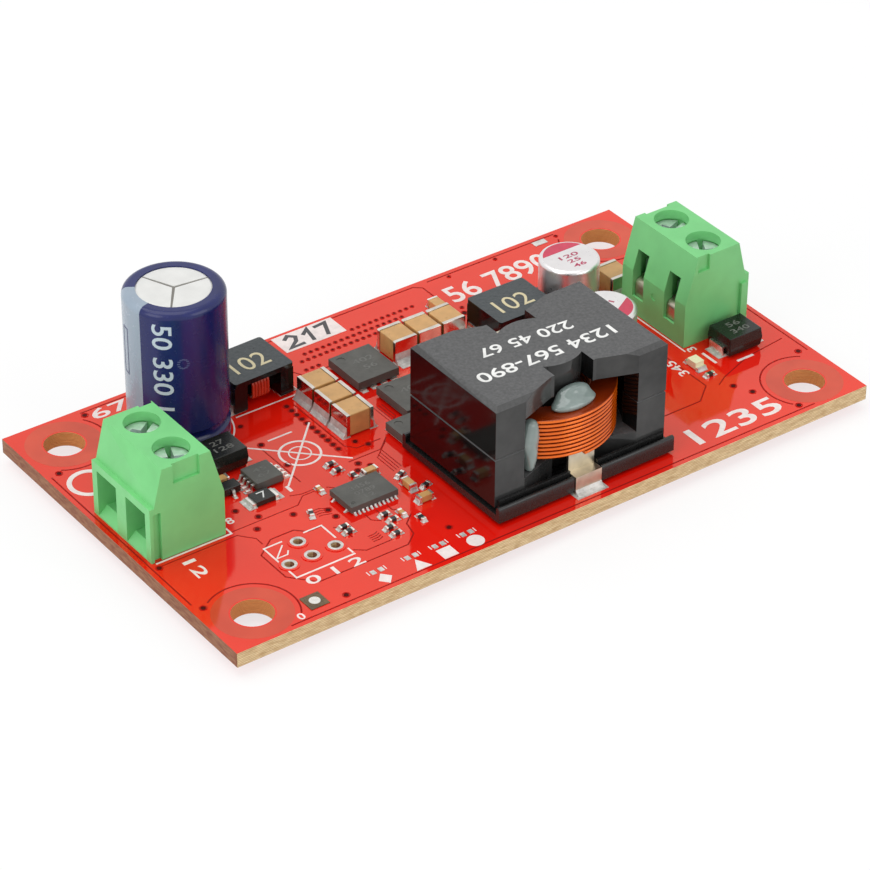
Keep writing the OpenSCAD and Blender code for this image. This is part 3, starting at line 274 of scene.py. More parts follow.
board_skin = board_material()
assign(green, "input_terminal_housing", "output_terminal_housing")
TINNED = ("_leads", "_ends", "_terminals", "_pads", "_joints", "_contacts")
NOT_MOULDED = ("status_light_body", "small_ceramic_bodies", "chip_resistor_bodies")
assign(tin, *[m for m in NODES if m.endswith(TINNED)])
assign(solder, "solder_joints", "solder_pads")
assign(plated_ends, "ceramic_capacitor_ends")
assign(dull_tin, "inductor_terminals", "input_terminal_contacts", "output_terminal_contacts")
assign(steel, *[m for m in NODES if "_screw_" in m or "_cage_" in m])
assign(aluminium, "bulk_capacitor_can", "polymer_can_shells")
assign(rubber, "bulk_capacitor_seal")
assign(moulding, *[m for m in NODES if m.endswith(("_body", "_bodies")) and m not in NOT_MOULDED])
assign(moulding, "polymer_can_bases")
assign(gloss_moulding, "suppressor_body", "output_diode_body", "clamp_diode_body", "small_transistor_body")
assign(base_black, "inductor_base")
assign(tan, "input_ceramics", "output_ceramics", "small_ceramic_bodies")
assign(lens, "status_light_body")
assign(chip_black, "chip_resistor_bodies")


# ------------ mesh helpers

def in_scene(name, data):
    ob = bpy.data.objects.new(name, data)
    bpy.context.scene.collection.objects.link(ob)
    return ob


def evaluated(ob):
    """The object's finished shape as a bmesh. The object is removed."""
    bpy.context.view_layer.update()
    mesh = bpy.data.meshes.new_from_object(ob.evaluated_get(bpy.context.evaluated_depsgraph_get()))
    bpy.data.objects.remove(ob)
    bm = bmesh.new()
    bm.from_mesh(mesh)
    bpy.data.meshes.remove(mesh)
    return bm


def join(bm, part):
    """Adds the second bmesh to the first."""
    mesh = bpy.data.meshes.new("part")
    part.to_mesh(mesh)
    part.free()
    bm.from_mesh(mesh)
    bpy.data.meshes.remove(mesh)


def skin(bm, rows, closed=False):
    """Faces between loops of corners, with an end on the first and the last unless the rows close."""
    count = len(rows[0])
    for i in range(len(rows) if closed else len(rows) - 1):
        here, there = rows[i], rows[(i + 1) % len(rows)]
        for k in range(count):
            m = (k + 1) % count
            bm.faces.new((here[k], here[m], there[m], there[k]))
    if not closed:
        bm.faces.new(rows[0][::-1])
        bm.faces.new(rows[-1])


def add_piece(name, bm, mat, smooth=False, replaces=()):
    """Every piece made here belongs to the module itself: the screws and cages stay as CAD nodes."""
    bmesh.ops.recalc_face_normals(bm, faces=bm.faces)
    data = bpy.data.meshes.new(name)
    bm.to_mesh(data)
    bm.free()
    data.materials.append(mat)
    if smooth:
        for p in data.polygons:
            p.use_smooth = True
    ob = in_scene(name, data)
    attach(ob, "module")
    if replaces:
        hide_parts(*replaces)


def circle(cx, cy, r, n=32, a0=0.0, a1=360.0, close=True):
    """Points of a circle or arc; an arc keeps both of its ends."""
    count = n if close else n + 1
    return [(cx + r * math.cos(math.radians(a0 + (a1 - a0) * i / n)),
             cy + r * math.sin(math.radians(a0 + (a1 - a0) * i / n))) for i in range(count)]


def letters(body, bold=0.012):
    """Outline letters of the built-in font, as a bmesh that just fills a box one unit on each side."""
    cu = bpy.data.curves.new("letters", "FONT")
    cu.body = body
    cu.resolution_u = 4
    cu.fill_mode = "BOTH"
    cu.extrude = 0.05
    cu.offset = bold
    bm = evaluated(in_scene("letters", cu))
    bpy.data.curves.remove(cu)
    xs = [v.co.x for v in bm.verts]
    ys = [v.co.y for v in bm.verts]
    for v in bm.verts:
        x = (v.co.x - min(xs)) / (max(xs) - min(xs))
        y = (v.co.y - min(ys)) / (max(ys) - min(ys))
        v.co = Vector((x, y, 0.0 if v.co.z < 0 else 1.0))
    return bm


class Film:
    """Thin closed layers of ink, lacquer or copper on level faces. Plan sizes and heights are in mm."""

    def __init__(self):
        self.bm = bmesh.new()
        self.count = 0

    def level(self, z):
        """Each line or patch lies a hair above the one before, so two that cross never share a face."""
        self.count += 1
        return z + 0.00025 * self.count

    def prism(self, pts, z0, z1):
        z1 = self.level(z1)
        rows = [[self.bm.verts.new((x * MM, y * MM, z * MM)) for x, y in pts] for z in (z0, z1)]
        skin(self.bm, rows)

    def strip(self, pts, w, z0, z1, closed=False):
        """A line of even width, mitred where it bends."""
        z1 = self.level(z1)
        p = [Vector(q) for q in pts]
        n = len(p)
        rows = []
        for i in range(n):
            after = (p[(i + 1) % n] - p[i]).normalized() if i < n - 1 or closed else None
            before = (p[i] - p[i - 1]).normalized() if i > 0 or closed else after
            after = before if after is None else after
            along = (before + after).normalized()
            side = Vector((-along.y, along.x))
            k = w / 2 / max(0.4, side.dot(Vector((-after.y, after.x))))
            a, b = p[i] + side * k, p[i] - side * k
            rows.append([self.bm.verts.new((q.x * MM, q.y * MM, z * MM)) for q, z in
                         ((a, z0), (a, z1), (b, z1), (b, z0))])
        skin(self.bm, rows, closed)

    def ring(self, cx, cy, r, w, z0, z1, n=32):
        self.strip(circle(cx, cy, r, n), w, z0, z1, closed=True)

    def disc(self, cx, cy, r, z0, z1, n=24):
        self.prism(circle(cx, cy, r, n), z0, z1)

    def text(self, body, size, middle, turn, z0, z1, bold=0.012):
        word = letters(body, bold)
        a = math.radians(turn)
        for v in word.verts:
            x, y = (v.co.x - 0.5) * size[0], (v.co.y - 0.5) * size[1]
            v.co = Vector(((middle[0] + x * math.cos(a) - y * math.sin(a)) * MM,
                           (middle[1] + x * math.sin(a) + y * math.cos(a)) * MM,
                           (z0 if v.co.z < 0.5 else z1) * MM))
        join(self.bm, word)

    def lines(self, heights, *runs):
        """Each run is a line's width and then the points that it passes."""
        for w, *pts in runs:
            self.strip(pts, w, *heights)

    def done(self, name, mat):
        add_piece(name, self.bm, mat)


def top_of(node):
    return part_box(node)[1].z / MM


def middle_of(node):
    lo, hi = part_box(node)
    return Vector(((lo.x + hi.x) / 2 / MM, (lo.y + hi.y) / 2 / MM))


# Films are sunk a little into what carries them, so that no gap shows, in mm
SUNK = 0.01


def film_on(z, rise):
    """Lower and upper height of a film on a face, in mm."""
    return z - SUNK, z + rise


# ------------ board

def square_board(round_r):
    """The board's own shape, with its four corners left as sharp as they are cut."""
    bm = bmesh.new()
    bm.from_mesh(NODES["circuit_board"].data)
    bmesh.ops.remove_doubles(bm, verts=bm.verts, dist=0.000001)
    corners = {}
    for v in bm.verts:
        dx = abs(v.co.x) - (board_hi.x - round_r)
        dy = abs(v.co.y) - (board_hi.y - round_r)
        if dx > 0.00001 and dy > 0.00001:
            key = (v.co.x > 0, v.co.y > 0, v.co.z > (TOP + BOTTOM) / 2)
            corners.setdefault(key, []).append((v, math.atan2(dy, dx)))
    for found in corners.values():
        middle = min(found, key=lambda f: abs(f[1] - math.pi / 4))[0]
        for v, a in found:
            sx, sy = math.copysign(1, v.co.x), math.copysign(1, v.co.y)
            if v is middle:
                v.co.x, v.co.y = sx * board_hi.x, sy * board_hi.y
            elif a < math.pi / 4:
                v.co.x, v.co.y = sx * board_hi.x, sy * (board_hi.y - round_r * (1 - math.tan(a)))
            else:
                v.co.x, v.co.y = sx * (board_hi.x - round_r * (1 - 1 / math.tan(a))), sy * board_hi.y
    bmesh.ops.dissolve_degenerate(bm, edges=bm.edges, dist=0.0000001)
    return bm


BOARD_CORNER_R = 1.3 * MM
add_piece("board_square_cornered", square_board(BOARD_CORNER_R), board_skin,
          replaces=("circuit_board",))

# Heights of the films on the board's mask, in mm
Z = TOP / MM
INK = film_on(Z, 0.022)
GAP = film_on(Z, 0.006)


# ------------ white print on the board

def trimmer_outline(ink):
    """Square outline with a wiper arrow, round the bare lands."""
    ink.lines(
        INK,
        (0.18, (-26.75, -14.4), (-26.75, -9.0), (-24.7, -9.0)),
        (0.20, (-26.85, -14.5), (-20.15, -14.5)),
        (0.18, (-22.3, -9.0), (-20.25, -9.0), (-20.25, -11.4)),
        (0.18, (-20.25, -13.4), (-20.25, -14.3)),
        (0.14, (-26.5, -10.9), (-25.0, -9.5)),
        (0.14, (-26.75, -11.0), (-25.4, -11.0), (-25.0, -10.5)))


def setting_marks(ink):
    """A lozenge, a triangle, a square and a disc along the front edge, each under two short strokes."""
    ink.prism([(-20.1, -18.45), (-19.35, -19.3), (-20.1, -20.15), (-20.85, -19.3)], *INK)
    ink.prism([(-17.05, -20.1), (-15.35, -20.1), (-16.2, -18.5)], *INK)
    ink.prism([(-13.85, -20.1), (-12.25, -20.1), (-12.25, -18.55), (-13.85, -18.55)], *INK)
    ink.disc(-9.8, -19.35, 0.88, *INK)
    for x in (-20.1, -16.2, -13.05, -9.8):
        for side in (-0.95, 0.95):
            ink.strip([(x + side, -17.55), (x + side, -18.15)], 0.1, *INK)


def plain_numbers(ink):
    """Plain numbers in the places of the board's words: text, size, middle and turn."""
    for body, size, middle, turn in (
            ("1235", (10.9, 2.75), (22.8, -17.95), 0),
            ("12", (2.9, 1.35), (-33.5, -7.9), -90),
            ("0 1 2", (6.3, 1.25), (-23.2, -15.6), 0),
            ("345", (2.9, 1.1), (24.0, -7.5), 90),
            ("67", (4.2, 1.7), (-26.2, 19.2), 0),
            ("56 7890", (13.0, 3.0), (19.6, 16.7), 0),
            ("0", (0.7, 0.95), (-29.7, -19.6), 0),
            ("1", (0.35, 1.0), (-19.4, -2.3), 0),
            ("8", (0.75, 1.0), (-26.9, -3.4), 0),
            ("3", (0.7, 1.0), (27.4, -5.6), 90)):
        ink.text(body, size, middle, turn, *INK)


def aiming_mark(ink):
    """Plain rings with long cross lines and a bar above."""
    x, y = -15.2, 2.05
    ink.lines(
        INK,
        (0.2, (-18.9, 5.7), (-11.5, -1.6)),
        (0.2, (-19.2, -1.9), (-11.5, 5.9)))
    ink.ring(x, y, 2.05, 0.24, *INK, n=48)
    ink.ring(x, y, 1.1, 0.14, *INK, n=32)
    ink.strip([(-16.6, 5.55), (-13.8, 5.55)], 0.2, *INK)


def board_print():
    ink = Film()
    # round the input block's base, and before the input choke
    ink.lines(
        INK,
        (0.20, (-36.2, -5.2), (-27.85, -5.2), (-27.85, -4.2)),
        (0.17, (-16.9, 10.75), (-9.1, 10.75)),
        (0.14, (-18.6, 10.6), (-18.1, 10.75), (-17.4, 10.75)))
    trimmer_outline(ink)
    setting_marks(ink)
    plain_numbers(ink)
    # plain ring beside the input block
    ink.ring(-34.4, 9.6, 1.95, 0.5, *INK, n=40)
    aiming_mark(ink)
    # polarity marks of the output diode, and outlines by the output block and round the bulk capacitor
    ink.lines(
        INK,
        (0.30, (29.8, -9.95), (31.9, -9.95)),
        (0.30, (27.85, -9.0), (27.85, -6.8)),
        (0.16, (26.6, -5.6), (26.6, 5.4)),
        (0.16, *circle(-22.67, 12, 5.35, 40, -58, 60, close=False)))
    # field for writing on
    ink.prism([(-6.35, 17.45), (0.95, 17.45), (0.95, 20.45), (-6.35, 20.45)], *INK)
    white = plain("silkscreen_white", (0.86, 0.76, 0.73), 0.45, vary=0.08, grain=3200, bump=0.000006,
                  patch=1500)
    ink.done("board_print", white)


def field_number():
    """Three figures in marker pen, stroke by stroke."""
    pen = Film()
    pen.lines(
        film_on(INK[1], 0.012),
        (0.44, (-5.35, 19.5), (-4.65, 20.05), (-4.0, 19.5), (-4.35, 18.8), (-5.45, 17.95), (-3.75, 18.0)),
        (0.44, (-3.2, 19.3), (-2.3, 20.0), (-2.7, 17.85)),
        (0.44, (-1.55, 19.85), (-0.1, 20.0), (-0.95, 17.9)))
    black = plain("marker_ink", (0.05, 0.045, 0.05), 0.4, vary=0.3, grain=2500)
    pen.done("field_number", black)


board_print()
field_number()


# ------------ copper under the mask, its gaps, and vias

def mask_relief(name, a, b, rough, gloss=True):
    """Solder mask over something other than plain copper: glossy lacquer, or a dull line in shadow."""
    g = Graph(name)
    g.color(g.mix(g.remap(g.noise(240.0, 2.0), 0.3, 0.7), a, b))
    g.rough(g.remap(g.noise(2600.0, 3.0), 0.3, 0.7, rough, rough * 1.5))
    g.bump(g.noise(2600.0, 3.0), 0.0000005 if gloss else 0.000004)
    if gloss:
        lacquer_gloss(g)
    else:
        set_inputs(g.bsdf, Specular_IOR_Level=0.12)
    return g.mat


def gaps_at_holes(gap):
    """An arc of bare laminate on the inner side of each mounting hole."""
    for sx in (-1, 1):
        for sy in (-1, 1):
            inward = math.degrees(math.atan2(-sy, -sx))
            arc = circle(sx * HOLE_X, sy * HOLE_Y, 4.45, 36, inward - 80, inward + 80, close=False)
            gap.strip(arc, 0.17, *GAP)


def gaps_at_edges(gap):
    """The copper stops short of the board's edges."""
    front_y, end_x, back_y = -20.25, 36.95, 20.25
    gap.lines(
        GAP,
        (0.15, (-31.2, front_y), (31.2, front_y)),
        (0.15, (-end_x, -12.4), (-end_x, 12.4)),
        (0.15, (end_x, -12.4), (end_x, 12.4)),
        (0.15, (-29.0, back_y), (11.2, back_y), (12.0, 19.6), (12.0, 14.6), (10.6, 13.6)),
        (0.15, (13.0, back_y), (29.5, back_y)))


def gaps_at_input(gap):
    """Round the input block and the trimmer."""
    gap.lines(
        GAP,
        (0.11, (-36.4, -5.0), (-20.2, -5.0), (-19.0, -4.0), (-17.6, -4.0)),
        (0.11, (-36.4, -5.75), (-27.6, -5.75), (-26.4, -7.2), (-26.4, -8.3)),
        (0.14, (-20.1, -9.1), (-21.8, -9.1), (-22.8, -8.1), (-25.4, -8.1), (-27.5, -9.7), (-27.5, -13.8),
         (-25.4, -16.2), (-15.3, -16.2), (-13.9, -15.1), (-13.5, -13.4), (-12.3, -12.4)),
        (0.12, (-20.0, -13.9), (-19.0, -14.7), (-16.2, -14.7), (-15.4, -14.0)))


def gaps_between_tracks(gap):
    """Four groups of fine tracks that run side by side, then single ones, round the controller."""
    for i in range(4):
        y = -13.0 - 0.32 * i
        gap.strip([(-17.7, y), (-16.9, y), (-16.5, y + 0.2)], 0.09, *GAP)
        x = -9.5 + 0.36 * i
        gap.strip([(x, -5.7 + 0.1 * i), (x, -2.9 + 0.3 * i), (x + 1.2, -1.9 + 0.3 * i)], 0.09, *GAP)
        y = -6.6 - 0.36 * i
        gap.strip([(-19.6, y), (-18.9 - 0.1 * i, y), (-18.3, -7.0 - 0.34 * i)], 0.09, *GAP)
        x = -4.9 + 0.34 * i
        gap.strip([(x, 4.4), (x, 1.4 + 0.2 * i), (x - 1.0, 0.5 + 0.2 * i)], 0.09, *GAP)
    gap.lines(
        GAP,
        (0.11, (-17.85, 5.4), (-17.85, -2.0)),
        (0.10, (-20.0, -3.3), (-18.9, -3.7), (-17.4, -3.7)),
        (0.10, (-16.3, -4.1), (-15.4, -5.0)),
        (0.11, (-12.2, -1.9), (-9.9, -1.9), (-8.4, -1.9), (-6.8, -0.5)),
        (0.10, (-19.5, -9.9), (-18.9, -10.6), (-18.9, -12.2)),
        (0.10, (-15.9, -9.9), (-15.9, -11.0), (-15.2, -11.6)),
        (0.10, (-14.6, -9.9), (-14.6, -10.9)),
        (0.10, (-13.3, -9.9), (-13.3, -10.8), (-12.7, -11.2)),
        (0.12, (-11.0, 9.4), (-11.0, 0.6), (-10.2, -0.4), (-7.4, -0.4)))


def gaps_at_output(gap):
    gap.lines(
        GAP,
        (0.12, (24.6, 9.8), (24.6, 6.2), (26.0, 5.8)),
        (0.13, (15.6, -3.2), (22.9, -3.2), (24.4, -5.0), (24.4, -11.6), (22.2, -13.4), (15.8, -13.4)),
        (0.12, (36.2, -9.3), (31.2, -9.9), (27.0, -11.4), (25.6, -12.2)),
        (0.12, (-12.5, 14.6), (-8.0, 14.6), (-7.2, 13.0), (2.6, 13.0), (3.4, 12.2)))


def copper_gaps():
    gap = Film()
    for draw in (gaps_at_holes, gaps_at_edges, gaps_at_input, gaps_between_tracks, gaps_at_output):
        draw(gap)
    # the gap lines are mask over bare laminate, drawn much darker: partly the laminate's own colour, partly
    # painted shade along the copper's edges
    dull = mask_relief("mask_over_laminate_with_painted_shade", (0.27, 0.004, 0.002), (0.36, 0.008, 0.004), 0.5,
                       gloss=False)
    gap.done("copper_gaps", dull)


def hole_rings():
    """Lacquer over bare laminate, round each mounting hole."""
    rings = Film()
    for sx in (-1, 1):
        for sy in (-1, 1):
            rings.ring(sx * HOLE_X, sy * HOLE_Y, 3.05, 1.66, *GAP, n=56)
    pale = mask_relief("mask_over_laminate_ring", (0.56, 0.030, 0.014), (0.68, 0.048, 0.022), 0.06)
    rings.done("hole_rings", pale)


PAD_Z = top_of("solder_pads")


def test_pad():
    """A square of olive lacquer with a plain round land, at the front edge."""
    x, y, half = -27.4, -18.4, 1.02
    olive = plain("olive_lacquer", (0.120, 0.070, 0.025), 0.3, vary=0.3, grain=1800, patch=900)
    square = Film()
    square.prism([(x - half, y - half), (x + half, y - half), (x + half, y + half), (x - half, y + half)],
                 Z - SUNK, PAD_Z + 0.02)
    square.done("test_pad_lacquer", olive)
    land = Film()
    land.disc(x, y, 0.55, PAD_Z, PAD_Z + 0.05)
    land.done("test_pad_land", tin)


def land_lacquer():
    """Lacquer that narrows the trimmer's lands."""
    cover = Film()
    for x, y in ((-26.15, -12.4), (-23.6, -12.4), (-20.95, -12.4), (-23.5, -9.9)):
        cover.ring(x, y, 0.90, 0.26, Z - SUNK, PAD_Z + 0.02, n=36)
    cover.done("land_lacquer", mask_relief("mask_on_lands", *MASK_RED, 0.05))


def via_field(x, y, count):
    """One row of the fine vias behind the power transistor."""
    return [(x + 0.75 * i, y) for i in range(count)]


def vias():
    """Small holes through the copper: large ones here and there, fine ones in rows."""
    large = [(-11.75, 0.5 + 0.9 * i) for i in range(11)]
    fine = via_field(1.5, 17.3, 11) + via_field(-5.0, 16.3, 17)
    fine += via_field(-6.0, 15.3, 13) + via_field(-6.5, 13.8, 3)
    large += [
        (-36.0, 12.6), (-28.8, 19.7), (-25.6, -2.4), (-24.3, -4.4), (-25.5, -6.0), (-21.4, -6.0),
        (-17.4, 9.2), (-17.5, 5.4), (-17.3, 1.1), (36.0, -12.1), (27.5, -15.1), (29.7, -19.6),
        (-24.5, -19.3), (-10.6, -16.2), (-11.6, -2.65), (-12.3, -3.6), (-10.8, -3.6), (-8.9, -0.5),
        (-18.3, -7.3), (-18.3, -8.6), (12.7, 13.2), (-36.3, -5.9), (-36.3, -13.4), (26.6, -13.2),
        (-9.7, 0.6), (-9.7, 7.9), (12.9, -2.2), (14.9, -2.2), (24.3, 13.4)]
    fine += [(15.5, 19.8), (21.5, 19.8), (29.5, 19.8), (13.1, 14.2), (16.9, 13.6)]
    holes = Film()
    rims = Film()
    for spots, hole_r, rim_r in ((large, 0.25, 0.35), (fine, 0.12, 0.20)):
        for x, y in spots:
            holes.disc(x, y, hole_r, *film_on(Z, 0.018), n=14)
            rims.ring(x, y, rim_r, 0.10, *film_on(Z, 0.026), n=18)
    # each hole is a dark disc of painted shade, and its rim a ring of dull, darker mask that is painted
    # shade too
    dark = plain("via_hole_painted_shade", (0.075, 0.004, 0.003), 0.6, vary=0.4, grain=3000, bump=0.000004, spec=0.1)
    dull = mask_relief("via_rim_mask_painted_shade", (0.42, 0.006, 0.003), (0.52, 0.010, 0.004), 0.4, gloss=False)
    holes.done("via_holes", dark)
    rims.done("via_rims", dull)


copper_gaps()
hole_rings()
test_pad()
land_lacquer()
vias()


# ------------ printing on the parts

def choke_marks():
    gold_ink = plain("pale_gold_ink", (0.66, 0.58, 0.36), 0.45, vary=0.1, grain=3000, bump=0.000006)
    gold = Film()
    for node, turn in (("input_choke_plate", 1.5), ("output_choke_plate", 0.0)):
        mid = middle_of(node)
        gold.text("102", (4.1, 2.35), (mid.x - 0.1, mid.y - 0.35), turn, *film_on(top_of(node), 0.018),
                  bold=0.0)
    gold.done("choke_marks", gold_ink)


def inductor_marks(white_ink):
    """Two lines of plain numbers, which read from the board's back edge."""
    top = film_on(top_of("inductor_upper_core"), 0.02)
    mark = Film()
    mark.text("1234 567-890", (15.8, 1.65), (2.98, -13.05), 179, *top)
    mark.text("220 45 67", (10.4, 1.5), (2.9, -9.85), 176, *top)
    mark.done("inductor_marks", white_ink)


# Laser marks: each node's lines of text, with width, height and the shift from the node's middle
LASER_TEXT = {
    "suppressor_body": (("27", 1.5, 0.75, 0.0, 0.55), ("128", 2.1, 0.7, 0.1, -0.55)),
    "output_diode_body": (("56", 1.6, 0.8, 0.1, 0.6), ("340", 2.2, 0.75, 0.1, -0.6)),
    "controller_body": (("3456", 2.3, 0.62, 0.0, 0.75), ("0789", 2.3, 0.62, 0.0, -0.15),
                        ("12", 1.1, 0.6, 0.0, -1.0)),
    "amplifier_body": (("45", 1.5, 0.6, 0.0, 0.45), ("67", 1.5, 0.6, 0.0, -0.5)),
}
# Rings at the first pin: the shift from the middle, the radius, the line's width and its points
PIN_RINGS = {
    "controller_body": (-2.25, -1.35, 0.2, 0.07, 20),
    "amplifier_body": (-1.05, -1.05, 0.16, 0.06, 18),
}
# The two power transistors that show their marks
MARKED_TRANSISTORS = ((-2.1, 10.05), (-1.05, 3.2))


def laser_marks():
    laser = Film()
    for node, lines in LASER_TEXT.items():
        mid = middle_of(node)
        for body, w, h, dx, dy in lines:
            laser.text(body, (w, h), (mid.x + dx, mid.y + dy), 0, *film_on(top_of(node), 0.012))
    for node, (dx, dy, r, w, n) in PIN_RINGS.items():
        mid = middle_of(node)
        laser.ring(mid.x + dx, mid.y + dy, r, w, *film_on(top_of(node), 0.01), n=n)
    top = film_on(top_of("power_transistor_bodies"), 0.012)
    for x, y in MARKED_TRANSISTORS:
        laser.text("402", (2.5, 0.8), (x + 0.3, y + 0.6), 0, *top)
        laser.text("56", (1.5, 0.75), (x + 0.3, y - 0.7), 0, *top)
    grey = plain("laser_mark", (0.125, 0.125, 0.115), 0.6, vary=0.25, grain=3600, bump=0.000006)
    laser.done("laser_marks", grey)


def clamp_diode_mark(white_ink):
    mid = middle_of("clamp_diode_body")
    x, y = mid.x, mid.y
    bar = Film()
    bar.strip([(x - 0.4, y + 0.45), (x + 0.4, y + 0.45), (x - 0.1, y - 0.45)], 0.13,
              *film_on(top_of("clamp_diode_body"), 0.014))
    bar.done("clamp_diode_mark", white_ink)


def polymer_can_marks():
    """A crimson segment with the rim left bare, and three small numbers, on each can."""
    crimson = plain("crimson_lacquer", (0.58, 0.035, 0.085), 0.35, vary=0.08, grain=2500, patch=900)
    can_ink = plain("can_print", (0.42, 0.06, 0.12), 0.5, vary=0.2, grain=3000, bump=0.000004)
    top = top_of("polymer_can_shells")
    first_line, line_step = 0.15, 0.95
    segment_r, half_turn = 2.72, 62
    segments = Film()
    numbers = Film()
    for x, y, face in ((22.2, 8.15, 90.0), (19.45, -1.45, -60.0)):
        outline = circle(x, y, segment_r, 28, face - half_turn, face + half_turn, close=False)
        segments.prism(outline, *film_on(top, 0.015))
        a = math.radians(face - 90)
        for k, (body, w) in enumerate((("120", 2.3), ("25", 1.5), ("46", 1.5))):
            off = first_line - line_step * k
            middle = (x - off * math.sin(a), y + off * math.cos(a))
            numbers.text(body, (w, 0.62), middle, face - 90, *film_on(top, 0.014))
    segments.done("polymer_can_segments", crimson)
    numbers.done("polymer_can_numbers", can_ink)


choke_marks()
white_marking = plain("white_marking", (0.82, 0.82, 0.80), 0.5, vary=0.10, grain=3000,
                      bump=0.000006, patch=1200)
inductor_marks(white_marking)
laser_marks()
clamp_diode_mark(white_marking)
polymer_can_marks()


# ------------ print on the bulk capacitor's sleeve

bulk_lo, bulk_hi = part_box("bulk_capacitor_sleeve")
bulk_mid = Vector(((bulk_lo.x + bulk_hi.x) / 2, (bulk_lo.y + bulk_hi.y) / 2))
bulk_r = (bulk_hi.x - bulk_lo.x) / 2
bulk_top = bulk_hi.z
# Thickness of the sleeve's print
SLEEVE_FILM = 0.02 * MM


def on_sleeve(r, angle, depth):
    """A place by its radius, its angle in radians and its depth in mm below the sleeve's top."""
    return bulk_mid.x + r * math.cos(angle), bulk_mid.y + r * math.sin(angle), bulk_top - depth * MM


def wrap_text(bm_out, body, length, height, angle, depth):
    """Letters that read down the sleeve, bent round it. Their tops face the way that the angle grows."""
    slices = 8
    word = letters(body)
    for i in range(1, slices):
        geom = word.verts[:] + word.edges[:] + word.faces[:]
        bmesh.ops.bisect_plane(word, geom=geom, plane_co=(0, i / slices, 0), plane_no=(0, 1, 0))
    for v in word.verts:
        r = bulk_r + (SLEEVE_FILM if v.co.z > 0.5 else -SUNK * MM)
        a = math.radians(angle) + (v.co.y - 0.5) * height * MM / bulk_r
        v.co = Vector(on_sleeve(r, a, depth + v.co.x * length))
    join(bm_out, word)


def wrap_strip(bm_out, a0, a1, z0, z1, lift):
    """A patch on the sleeve between two angles and two depths below its top."""
    n = max(2, int(abs(a1 - a0) / 3))
    low, high = bulk_r - SUNK * MM, bulk_r + lift
    rows = []
    for i in range(n + 1):
        a = math.radians(a0 + (a1 - a0) * i / n)
        section = ((low, z0), (high, z0), (high, z1), (low, z1))
        rows.append([bm_out.verts.new(on_sleeve(r, a, depth)) for r, depth in section])
    skin(bm_out, rows)


def sleeve_numbers():
    bm = bmesh.new()
    wrap_text(bm, "50 330 16 82", 15.3, 2.0, 223.5, 1.25)
    wrap_text(bm, "46 1307", 9.2, 1.5, 30.0, 3.4)
    pale = plain("sleeve_print", (0.50, 0.60, 0.68), 0.4, vary=0.06, grain=2600)
    add_piece("sleeve_numbers", bm, pale)


def sleeve_minus_marks():
    """A long slot-shaped outline in the stripe."""
    left, right, top, bottom = 163.0, 174.5, 3.2, 8.4
    turn, width = 1.3, 0.14
    bm = bmesh.new()
    wrap_strip(bm, left, left + turn, top, bottom, SLEEVE_FILM)
    wrap_strip(bm, right - turn, right, top, bottom, SLEEVE_FILM)
    wrap_strip(bm, left + turn, right - turn, top, top + width, SLEEVE_FILM)
    wrap_strip(bm, left + turn, right - turn, bottom - width, bottom, SLEEVE_FILM)
    navy = plain("sleeve_minus_ink", (0.035, 0.035, 0.13), 0.4, vary=0.15, bump=0.000004)
    add_piece("sleeve_minus_marks", bm, navy)


def sleeve_ring():
    """A small ring of short dashes beside the numbers."""
    angle, depth, dashes = 246.0, 5.6, 12
    half_turn, half_height = 1.6, 0.07
    bm = bmesh.new()
    for k in range(dashes):
        a = 2 * math.pi * k / dashes
        here = angle + 5.5 * math.cos(a)
        down = depth + 0.5 * math.sin(a)
        wrap_strip(bm, here - half_turn, here + half_turn, down - half_height, down + half_height,
                   SLEEVE_FILM / 2)
    faint = plain("sleeve_ring_ink", (0.06, 0.08, 0.20), 0.4, vary=0.15, bump=0.000004)
    add_piece("sleeve_ring", bm, faint)


def sleeve_material():
    """Dark blue film with a pale stripe down one side, drawn by the angle round the capacitor's axis."""
    stripe_middle, stripe_half = math.radians(171.5), math.radians(25.5)
    g = Graph("shrink_sleeve_with_stripe")
    pos, _ = g.position()
    r, dx, dy = radius_from(g, pos, bulk_mid.x, bulk_mid.y)
    # the cosine of the angle from the stripe's middle
    c, s = math.cos(stripe_middle), math.sin(stripe_middle)
    along = g.math("DIVIDE", g.math("ADD", g.math("MULTIPLY", dx, c), g.math("MULTIPLY", dy, s)), r)
    stripe = g.math("GREATER_THAN", along, math.cos(stripe_half))
    film = g.noise(260.0, 3.0, 0.6, g.mapped((1, 1, 0.25)))
    blue = g.mix(g.remap(film, 0.3, 0.7), (0.006, 0.010, 0.075), (0.012, 0.018, 0.125))
    pale = g.mix(g.remap(film, 0.3, 0.7), (0.26, 0.325, 0.40), (0.33, 0.40, 0.48))
    g.color(g.mix(stripe, blue, pale))
    g.rough(g.remap(g.noise(1200.0, 3.0), 0.3, 0.7, 0.20, 0.30))
    g.bump(film, 0.00002)
    set_inputs(g.bsdf, Specular_IOR_Level=0.35, Coat_Weight=0.12, Coat_Roughness=0.08)
    return g.mat


sleeve_numbers()
sleeve_minus_marks()
sleeve_ring()
assign(sleeve_material(), "bulk_capacitor_sleeve")


# ------------ the bulk capacitor's bare top

DISC_R = 3.66
CUT_ANGLES = (-6.0, 114.0, 234.0)
DISC_TOP = top_of("bulk_capacitor_can")


